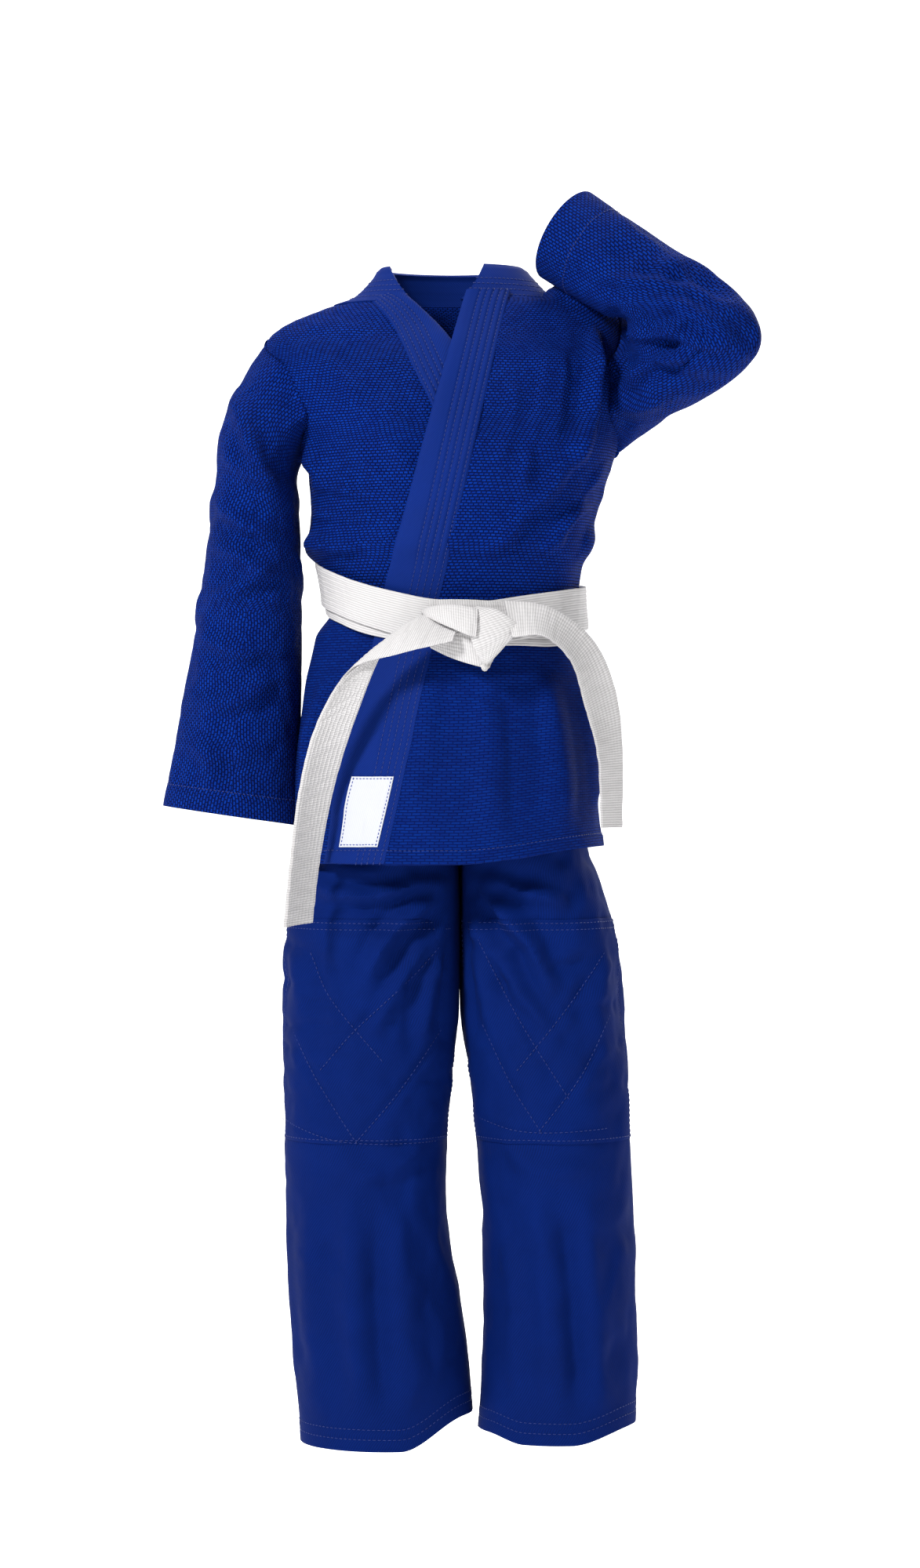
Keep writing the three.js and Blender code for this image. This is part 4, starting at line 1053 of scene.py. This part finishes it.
def seatPiece():
    grid, angle, height = ringGrid(hipTube, trousers["legTop"] + pattern["seamGap"], 876, 150, 5)
    normals = gridNormals(grid, True)
    gathers = 0.8 * np.sin(np.radians(angle) * 34 + 0.8 * np.sin(np.radians(angle) * 5)) * smooth(height, 800, 850)
    seams = sum(np.exp(-(((angle - a) / 0.9) ** 2)) for a in (0.5, 90, 270, 359.5))
    lift = crumple(grid, 60, 1.4, 91) * (1 - smooth(height, 800, 842)) + gathers - 0.5 * seams - 0.6
    lift = lift - 0.6 * np.exp(-(((height - 842) / 1.6) ** 2))
    piece = clothShell("trouserSeat", grid + normals * lift[..., None], trousers["cloth"], trouserTwill, True)
    onJacket(piece, "trouser_twill", "seat_front_left", "seat_front_right", "seat_back", "waistband")
    asSheet(piece, grid, True)
    grid, angle, height = ringGrid(hipTube, 845, 873, 150, 3)
    ripple = 0.35 * np.sin(np.radians(angle) * 34) - 3.4
    elastic = clothShell("waistElastic", grid + gridNormals(grid, True) * ripple[..., None], 1.5, elasticKnit, True)
    onJacket(elastic, "elastic", "waist_elastic")
    asSheet(elastic, grid, True)


seatPiece()

# lines in frame millimetres; the left leg has its own
legFolds = {
    "right": [
        ("front", [(4, -262), (-24, -292), (-66, -330), (-98, -392)], 8, 4.6),
        ("front", [(2, -276), (-14, -330), (-30, -400), (-34, -452)], 8, 4.2),
        ("front", [(0, -268), (-50, -282), (-110, -296)], 7, 3.2),
        ("front", [(-160, -262), (-120, -286), (-70, -290)], 8, 2.6),
        ("front", [(-8, -300), (-52, -372), (-92, -440)], 7, 2.8),
        ("front", [(-168, -330), (-150, -400), (-160, -470)], 10, 3.0),
        ("front", [(-100, -540), (-106, -640), (-100, -740), (-96, -830)], 14, 3.4),
        ("front", [(-56, -560), (-52, -660), (-44, -760), (-40, -836)], 13, 3.0),
        ("front", [(-140, -560), (-146, -680), (-134, -820)], 12, 2.8),
        ("front", [(-18, -520), (-60, -560), (-120, -566)], 10, 2.6),
        ("front", [(-76, -600), (-78, -700), (-70, -830)], 9, -2.6),
        ("back", [(0, -262), (-50, -300), (-110, -330)], 10, 4.2),
        ("back", [(-10, -300), (-60, -360), (-96, -440)], 10, 3.4),
        ("back", [(-150, -480), (-96, -500), (-20, -486)], 11, 4.6),
        ("back", [(-150, -520), (-90, -534), (-16, -524)], 10, 3.6),
        ("back", [(-110, -560), (-112, -680), (-100, -830)], 15, 4.0),
        ("back", [(-50, -560), (-46, -690), (-40, -834)], 15, 3.4),
        ("right", [(-20, -300), (10, -420), (0, -520)], 14, 3.0),
        ("right", [(10, -560), (0, -700), (6, -830)], 14, 3.0),
    ],
    "left": [
        ("front", [(8, -262), (38, -296), (74, -336), (100, -400)], 8, 4.8),
        ("front", [(10, -278), (24, -330), (34, -400), (38, -452)], 8, 4.2),
        ("front", [(14, -268), (64, -284), (124, -300)], 7, 3.0),
        ("front", [(16, -306), (60, -376), (104, -440)], 7, 2.8),
        ("front", [(150, -330), (142, -400), (150, -470)], 10, 3.0),
        ("front", [(76, -540), (84, -640), (92, -740), (96, -830)], 13, 3.4),
        ("front", [(126, -550), (138, -660), (146, -780), (148, -836)], 12, 3.2),
        ("front", [(36, -520), (80, -560), (140, -560)], 10, 2.6),
        ("front", [(104, -600), (118, -700), (124, -830)], 9, -2.6),
        ("front", [(50, -600), (58, -700), (62, -832)], 10, 2.6),
        ("back", [(10, -262), (56, -300), (114, -330)], 10, 4.2),
        ("back", [(20, -300), (64, -360), (100, -440)], 10, 3.4),
        ("back", [(28, -480), (90, -500), (150, -486)], 11, 4.6),
        ("back", [(30, -522), (96, -534), (160, -522)], 10, 3.6),
        ("back", [(120, -560), (128, -680), (132, -830)], 15, 4.0),
        ("back", [(60, -560), (70, -690), (74, -834)], 15, 3.4),
        ("left", [(-20, -300), (10, -420), (0, -520)], 14, 3.0),
        ("left", [(10, -560), (0, -700), (6, -830)], 14, 3.0),
    ],
}
quilting = {
    "right": [[(4, -316), (-34, -362), (-98, -422), (-133, -462)], [(-143, -348), (-123, -392), (-73, -452)],
              [(-163, -422), (-138, -472), (-98, -534)], [(-12, -422), (-54, -482), (-98, -534)]],
    "left": [[(14, -316), (62, -410), (112, -490)], [(150, -345), (110, -402), (62, -462)],
             [(28, -420), (56, -478), (84, -522)], [(154, -410), (124, -470), (84, -522)]],
}
legFacts = {
    "right": {"bottom": 6, "seed": 101, "askew": [(30, -62, 4)],
              "body": ["right_thigh", "right_shin"], "x": -0.086,
              "patchEnd": [(-173, -516), (-110, -534), (-20, -536)]},
    "left": {"bottom": 12, "seed": 111, "askew": [(14, 108, 172), (8, 60, 24)],
             "body": ["left_thigh", "left_shin"], "x": 0.092,
             "patchEnd": [(20, -512), (70, -524), (150, -522)]},
}


def legLift(side, grid, normals, angle, height):
    facts = legFacts[side]
    up = height - facts["bottom"]
    thigh = smooth(height, 400, 500)
    lift = (1.7 + 0.9 * thigh) * foldLift(grid, normals, legFolds[side]) + crumple(grid, 72, 3.0, facts["seed"])
    lift = lift + crumple(grid, 30, 1.0, facts["seed"] + 1)
    aboveKnee = 0.25 + 0.75 * smooth(height, 330, 430)
    lift = lift + crumple(grid, 30, 2.3, facts["seed"] + 2, (0.45, 0.45, 1.6)) * aboveKnee
    lift = lift * (0.4 + 0.6 * np.abs(normals[..., 1])) * (1 - 0.95 * insideLeg(grid, height)[1])
    lift = lift * smooth(up, 4, 70) * (1 - 0.5 * smooth(height, 600, trousers["legTop"])) - 0.7
    # side and inside leg seams, and the two stitched rows of the hem
    for seam in (90, 270):
        lift = lift - 0.6 * np.exp(-((angle - seam) ** 2))
        lift = lift + 0.5 * np.exp(-(((angle - seam - 3.4) / 2.0) ** 2))
    for row in trousers["hemRows"]:
        lift = lift - 0.55 * np.exp(-(((up - row) / 1.5) ** 2))
    return lift + 0.6 * (1 - smooth(up, 22, 24))


def legPieces(side):
    facts = legFacts[side]
    tube = legTubes[side]
    grid, angle, height = ringGrid(tube, facts["bottom"], trousers["legTop"], 132, 4.2)
    # the hems hang a little askew
    askew = sum(raised * smooth(grid[..., 0], low, high) for raised, low, high in facts["askew"])
    grid[..., 2] += askew * (1 - smooth(height - facts["bottom"], 0, 230))
    normals = gridNormals(grid, True)
    lift = legLift(side, grid, normals, angle, height)
    lift = lift + foldLift(grid, normals, [("front", line, 4.5, -1.6) for line in quilting[side]])
    shaped = grid + normals * lift[..., None]
    cut = int(np.searchsorted(height[:, 0], trousers["split"]))
    thick = trousers["cloth"] + 1.2 * (1 - smooth(height - facts["bottom"], 22, 24))
    lower = clothShell("legLower" + side.title(), shaped[: cut + 1], thick[: cut + 1], trouserTwill, True)
    upper = clothShell("legUpper" + side.title(), shaped[cut:], thick[cut:], trouserTwill, True)
    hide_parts("hip_fold_" + side, "thigh_" + side)
    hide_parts("knee_" + side, "shin_" + side, "leg_hem_" + side)
    for piece, part in ((lower, grid[: cut + 1]), (upper, grid[cut:])):
        asSheet(piece, part, True)
    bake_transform(upper)
    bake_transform(lower)

    # reinforcement over the knee: a second layer, stitched down and quilted
    patchGrid, patchAngle, patchHeight = panelGrid(
        tube, trousers["patchBottom"], trousers["patchTop"], -80, 80, 3.2, 0)
    patchNormals = gridNormals(patchGrid, False)
    around = np.mod(patchAngle, 360)
    patchLift = legLift(side, patchGrid, patchNormals, around, patchHeight) + 2.6
    patchLift = patchLift - 1.5 * nearEdge(patchGrid, ["left", "right", "top", "bottom"], 2.4)
    lines = [("front", line, 4.5, -1.8) for line in quilting[side]] + [("front", facts["patchEnd"], 3.0, -1.2)]
    patchLift = patchLift + foldLift(patchGrid, patchNormals, lines)
    patchShaped = patchGrid + patchNormals * patchLift[..., None]
    piece = clothShell("kneePatch" + side.title(), patchShaped, 1.4, trouserTwill)
    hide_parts("knee_patch_" + side)
    asSheet(piece, patchGrid)
    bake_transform(piece)

    # stitched lines: hem rows, patch edges and quilting
    closed = np.concatenate([shaped, shaped[:, :1]], 1)
    closedNormals = gridNormals(closed, False)
    columns = np.arange(closed.shape[1])
    lines = []
    for row in trousers["hemRows"]:
        at = np.interp(facts["bottom"] + row, height[:, 0], np.arange(len(height)))
        lines.append(gridLine(closed, closedNormals, 0 * columns + at, columns, 0.0002))
    shapedNormals = gridNormals(patchShaped, False)
    last = (patchShaped.shape[0] - 1, patchShaped.shape[1] - 1)
    columns = np.linspace(1, last[1] - 1, 80)
    rows = np.linspace(1, last[0] - 1, 80)
    for inset in (1.2, 3.2):
        lines.append(gridLine(patchShaped, shapedNormals, 0 * columns + last[0] - inset, columns, 0.0002))
    lines.append(gridLine(patchShaped, shapedNormals, 0 * columns + 1.2, columns, 0.0002))
    for column in (1.2, last[1] - 1.2):
        lines.append(gridLine(patchShaped, shapedNormals, rows, 0 * rows + column, 0.0002))
    flat = place(patchShaped) * 1000
    for line in quilting[side] + [facts["patchEnd"]]:
        path = throughPoints(np.array(line, float), np.linspace(0, 1, 40))
        found = []
        for x, z in path:
            away = (flat[..., 0] - x) ** 2 + (flat[..., 2] - z) ** 2
            share = np.exp(-away / 8)
            if share.sum() > 0.5:
                found.append((x / 1000, (flat[..., 1] * share).sum() / share.sum() / 1000 - 0.0006, z / 1000))
        if len(found) > 4:
            lines.append(found)
    made = stitches("legStitches" + side.title(), lines, darkThread, 0.005, 0.0034, 0.0008)
    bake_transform(made)


legPieces("right")
legPieces("left")


def gussetPiece():
    # a folded diamond that closes the crotch between the legs
    y, across = np.meshgrid(np.linspace(-58, 58, 30), np.linspace(-1, 1, 9), indexing="ij")
    half = 7.5 * (1 - (y / 60) ** 2) + 0.6
    grid = np.stack([-5.5 + across * half, y, 612 + 10 * (1 - across**2) - 8 * (y / 60) ** 2], 2)
    facing = gridNormals(grid, False)[15, 4, 2]
    piece = clothShell("crotchGusset", grid, 1.8, trouserTwill, flip=bool(facing < 0))
    onJacket(piece, "trouser_twill", "crotch_gusset")
    asSheet(piece, grid)


gussetPiece()
print("trousers ready")

# ---- belt: quilted along its length, so each row between stitches is a low ridge
belt = {"width": 44, "thickness": 3.2, "rows": 9, "ridge": 0.42}
beltTube = uprightTube([
    (-9, 0, 790, 133.5, 104.5), (-9, 0, 815, 130, 101), (-8.5, 0, 832, 128, 99), (-9, 0, 850, 127, 98),
    (-10, 0, 868, 128, 98), (-11, 0, 895, 132, 101),
])
# lower edge of the outer wrap round the body, from the front, in frame millimetres
outerDip = [(-180, -8), (-135, 0), (-90, 3), (-60, -9), (-35, -27), (-12, -41), (10, -45), (32, -37),
            (60, -28), (90, -23), (135, -15), (180, -10)]
innerDrop = [(-180, 5), (-90, 9), (-45, 9), (-10, 2), (20, 2), (45, 12), (90, 9), (180, 5)]


def beltRibs(share):
    # across the belt, 0 to 1: ridges between rows of stitching, thinner at both edges
    ridges = belt["ridge"] * np.abs(np.cos(np.pi * share * belt["rows"]))
    edge = np.minimum(share, 1 - share) * belt["width"]
    return ridges - 1.1 * np.exp(-edge / 1.0)


def beltPucker(run, share, seed):
    draw = np.random.default_rng(seed)
    phase = draw.uniform(0, 6.28, 6)
    total = sum(np.sin(run / (1.5 + 0.55 * k) + phase[k] + 7 * share * math.cos(k)) for k in range(6))
    return 0.09 * total


def wrapPiece(name, node, lift, drop, seed):
    angle = np.linspace(-180, 180, 420, endpoint=False)
    share = np.linspace(0, 1, 64)
    dip = np.interp(angle, *zip(*outerDip)) - (np.interp(angle, *zip(*innerDrop)) if drop else 0)
    kernel = np.hanning(31) / np.hanning(31).sum()
    dip = np.convolve(np.concatenate([dip[-15:], dip, dip[:15]]), kernel, "valid")
    height = pattern["waistHeight"] + dip[None] + share[:, None] * belt["width"]
    angles = np.repeat(angle[None], len(share), 0)
    grid = onTube(beltTube, angles, alongAt(beltTube, height))
    normals = gridNormals(grid, True)
    run = np.radians(angles) * 115
    # no lapels to clear at the sides and back
    raised = lift - 5.6 * smooth(np.abs(angles), 48, 84) + belt["thickness"]
    raised = raised + beltRibs(share)[:, None] + beltPucker(run, share[:, None], seed)
    shaped = grid + normals * raised[..., None]
    piece = clothShell(name, shaped, belt["thickness"] + 0.2, beltCotton, True)
    onJacket(piece, "belt_cotton", node)
    asSheet(piece, grid, True)


wrapPiece("beltInner", "belt_inner_wrap", 5.2, True, 121)
wrapPiece("beltOuter", "belt_outer_wrap", 9.2, False, 122)


def foldedStrap(name, upper, lower, seed, bulge=0.0, spacing=1.6):
    # belt cloth between two edges drawn in frame millimetres
    length = max(np.linalg.norm(np.diff(np.array(e, float), axis=0), axis=1).sum() for e in (upper, lower))
    along = np.linspace(0, 1, int(length / spacing) + 2)
    edges = [throughPoints(np.array(e, float), along) for e in (lower, upper)]
    share = np.linspace(0, 1, 64)
    grid = edges[0][:, None] * (1 - share)[None, :, None] + edges[1][:, None] * share[None, :, None]
    grid = grid - [pattern["leftShift"], 0, -pattern["waistHeight"]]
    flip = bool(gridNormals(grid, False)[len(grid) // 2, 32, 1] > 0)
    normals = gridNormals(grid, False, flip)
    run = np.repeat((along * length)[:, None], len(share), 1)
    lift = beltRibs(share)[None] + beltPucker(run, share[None], seed) + bulge * np.sin(np.pi * share)[None]
    shaped = grid + normals * lift[..., None]
    return clothShell(name, shaped, belt["thickness"], beltCotton, False, flip)


knotPieces = {
    "knotBack": ([(-26, -114, 2), (10, -117, 2), (50, -115, 0)],
                 [(-22, -115, -40), (14, -119, -44), (56, -115, -34)], 0),
    "knotUnder": ([(-26, -124, -28), (-9, -128, -26), (6, -134, -24), (24, -139, -30)],
                  [(-24, -124, -46), (-8, -129, -54), (8, -132, -60), (29, -133, -66)], 2.0),
    "knotSide": ([(24, -138, -6), (39, -141, -8), (55, -141, -18), (62, -138, -28), (48, -138, -46),
                  (30, -134, -65)],
                 [(12, -139, -10), (13, -142, -20), (14, -144, -32), (19, -143, -46), (24, -139, -57),
                  (29, -133, -66)], 2.4),
    "knotBand": ([(-31, -126, -8), (-22, -137, -5), (-4, -143, -4), (12, -145, -6), (22, -144, -8)],
                 [(-30, -130, -15), (-20, -141, -20), (-2, -147, -28), (12, -149, -34), (20, -147, -36)], 2.6),
}
for name, (upper, lower, bulge) in knotPieces.items():
    made = foldedStrap(name, upper, lower, 131, bulge)
    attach(made, "jacket")
    if name == "knotBand":
        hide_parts("belt_knot")


def tailPiece(name, node, stations, seed, curl):
    places = place([s[0] for s in stations]) * 1000
    halves = np.array([s[1] for s in stations], float)
    length = np.linalg.norm(np.diff(places, axis=0), axis=1).sum()
    along = np.linspace(0, 1, int(length / 1.8))
    centre, half = throughPoints(places, along), throughPoints(halves, along)
    half /= np.linalg.norm(half, axis=1, keepdims=True)
    face = np.cross(half, np.gradient(centre, axis=0))
    face /= np.linalg.norm(face, axis=1, keepdims=True)
    share = np.linspace(0, 1, 64)
    side = (2 * share - 1) * (belt["width"] / 2 - 0.5)
    bow = curl * (1 - (2 * share - 1) ** 2)
    grid = centre[:, None] + half[:, None] * side[None, :, None] + face[:, None] * bow[None, :, None]
    grid = grid - [pattern["leftShift"], 0, -pattern["waistHeight"]]
    flip = bool((gridNormals(grid, False)[:8].mean((0, 1)))[1] > 0)
    normals = gridNormals(grid, False, flip)
    run = np.repeat((along * length)[:, None], len(share), 1)
    ribs = beltRibs(share)[None]
    lift = belt["thickness"] / 2 + ribs + beltPucker(run, share[None], seed)
    thick = belt["thickness"] + 2 * np.repeat(ribs, len(run), 0)
    made = clothShell(name, grid + normals * lift[..., None], thick, beltCotton, False, flip)
    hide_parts(node)
    # the root stays in the knot and the tail bends just outside it
    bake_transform(made)
    asSheet(made, grid)


tailStart = -133.6 - 1.5 - 0.7
tailPiece("beltTailRight", "belt_tail_right", [
    ((-4, tailStart + 3, 822), (0.3, 0.75, 0.7)), ((-52, tailStart - 4, 814), (0.45, 0.3, 0.9)),
    ((-92, tailStart - 2, 792), (0.85, 0.1, 0.6)), ((-122, tailStart + 6, 735), (1, 0.25, 0.3)),
    ((-142, tailStart + 16, 668), (1, 0.7, 0.2)), ((-154, tailStart + 16, 595), (0.9, 1, 0.15)),
    ((-161, tailStart + 16, 531), (0.8, 1, 0.12))], 141, 2.0)
tailPiece("beltTailLeft", "belt_tail_left", [
    ((44, tailStart, 830), (-0.2, 0.5, 0.9)), ((82, tailStart + 2, 827), (0.2, 0.8, 0.75)),
    ((116, tailStart + 16, 800), (0.6, 0.8, 0.6)), ((134, tailStart + 34, 756), (0.8, 0.65, 0.45)),
    ((145, tailStart + 44, 700), (0.62, 0.85, 0.1)), ((147, tailStart + 50, 626), (0.5, 0.9, 0))],
    142, 2.0)
print("belt ready")

# ---- studio: pale floor that curves up behind, soft light, camera at chest height
studio = {"floor": -0.929, "camera": (0.005, -3.8, -0.179), "lens": 57.5}


def sweepFloor():
    profile = [(-6.0, 0.0), (3.2, 0.0)]
    profile += [(3.2 + 1.6 * math.sin(a), 1.6 - 1.6 * math.cos(a)) for a in np.linspace(0.15, math.pi / 2, 10)]
    profile.append((4.8, 7.0))
    points = [(x, y, studio["floor"] + z) for y, z in profile for x in (-9.0, 9.0)]
    faces = [(2 * k, 2 * k + 1, 2 * k + 3, 2 * k + 2) for k in range(len(profile) - 1)]
    mesh = bpy.data.meshes.new("studioFloor")
    mesh.from_pydata(points, [], faces)
    mesh.polygons.foreach_set("use_smooth", np.ones(len(mesh.polygons), bool))
    floor = bpy.data.objects.new("studioFloor", mesh)
    bpy.context.scene.collection.objects.link(floor)
    # matt white studio paper
    material, tree, shader, where = newMaterial("whiteSeamlessPaper")
    speck = addNode(tree, "ShaderNodeTexNoise", inputs={"Vector": where.outputs["Object"], "Scale": 3.0})
    tone = addNode(tree, "ShaderNodeMix", {"data_type": "RGBA"}, {
        "Factor": speck.outputs["Fac"], 6: linear("#f4f4f5"), 7: linear("#f7f7f8")})
    tree.links.new(tone.outputs[2], shader.inputs["Base Color"])
    shader.inputs["Roughness"].default_value = 0.95
    shader.inputs["Emission Color"].default_value = (1, 1, 1, 1)
    shader.inputs["Emission Strength"].default_value = 0.55
    mesh.materials.append(material)


sweepFloor()
world = bpy.data.worlds.new("studioWorld")
bpy.context.scene.world = world
world.use_nodes = True
world.node_tree.nodes["Background"].inputs["Color"].default_value = (1, 1, 1, 1)
world.node_tree.nodes["Background"].inputs["Strength"].default_value = 0.3
lights = {
    "keySoftbox": {"at": (-2.2, -2.7, 2.1), "size": 0.7, "power": 205},
    "fillSoftbox": {"at": (2.6, -2.8, 0.4), "size": 1.4, "power": 24},
    "topSoftbox": {"at": (0.4, 0.8, 2.8), "size": 1.4, "power": 60},
    "backSoftbox": {"at": (1.8, 2.6, 1.4), "size": 1.6, "power": 60},
}
for name, facts in lights.items():
    lamp = bpy.data.lights.new(name, "AREA")
    lamp.size, lamp.energy = facts["size"], facts["power"]
    holder = bpy.data.objects.new(name, lamp)
    holder.location = facts["at"]
    aim = np.array([0, 0, -0.2]) - np.array(facts["at"])
    bpy.context.scene.collection.objects.link(holder)
    holder.rotation_euler = Vector(aim.tolist()).to_track_quat("-Z", "Y").to_euler()

cameraData = bpy.data.cameras.new("studioCamera")
cameraData.sensor_fit = "VERTICAL"
cameraData.sensor_height = 24
cameraData.lens = studio["lens"]
camera = bpy.data.objects.new("studioCamera", cameraData)
camera.location = studio["camera"]
camera.rotation_euler = (math.pi / 2, 0, 0)
bpy.context.scene.collection.objects.link(camera)
bpy.context.scene.camera = camera
bpy.context.scene.view_settings.view_transform = "Standard"

for name, cut, area in sheets:
    print("sheet", name, cut, area)
print("finished")
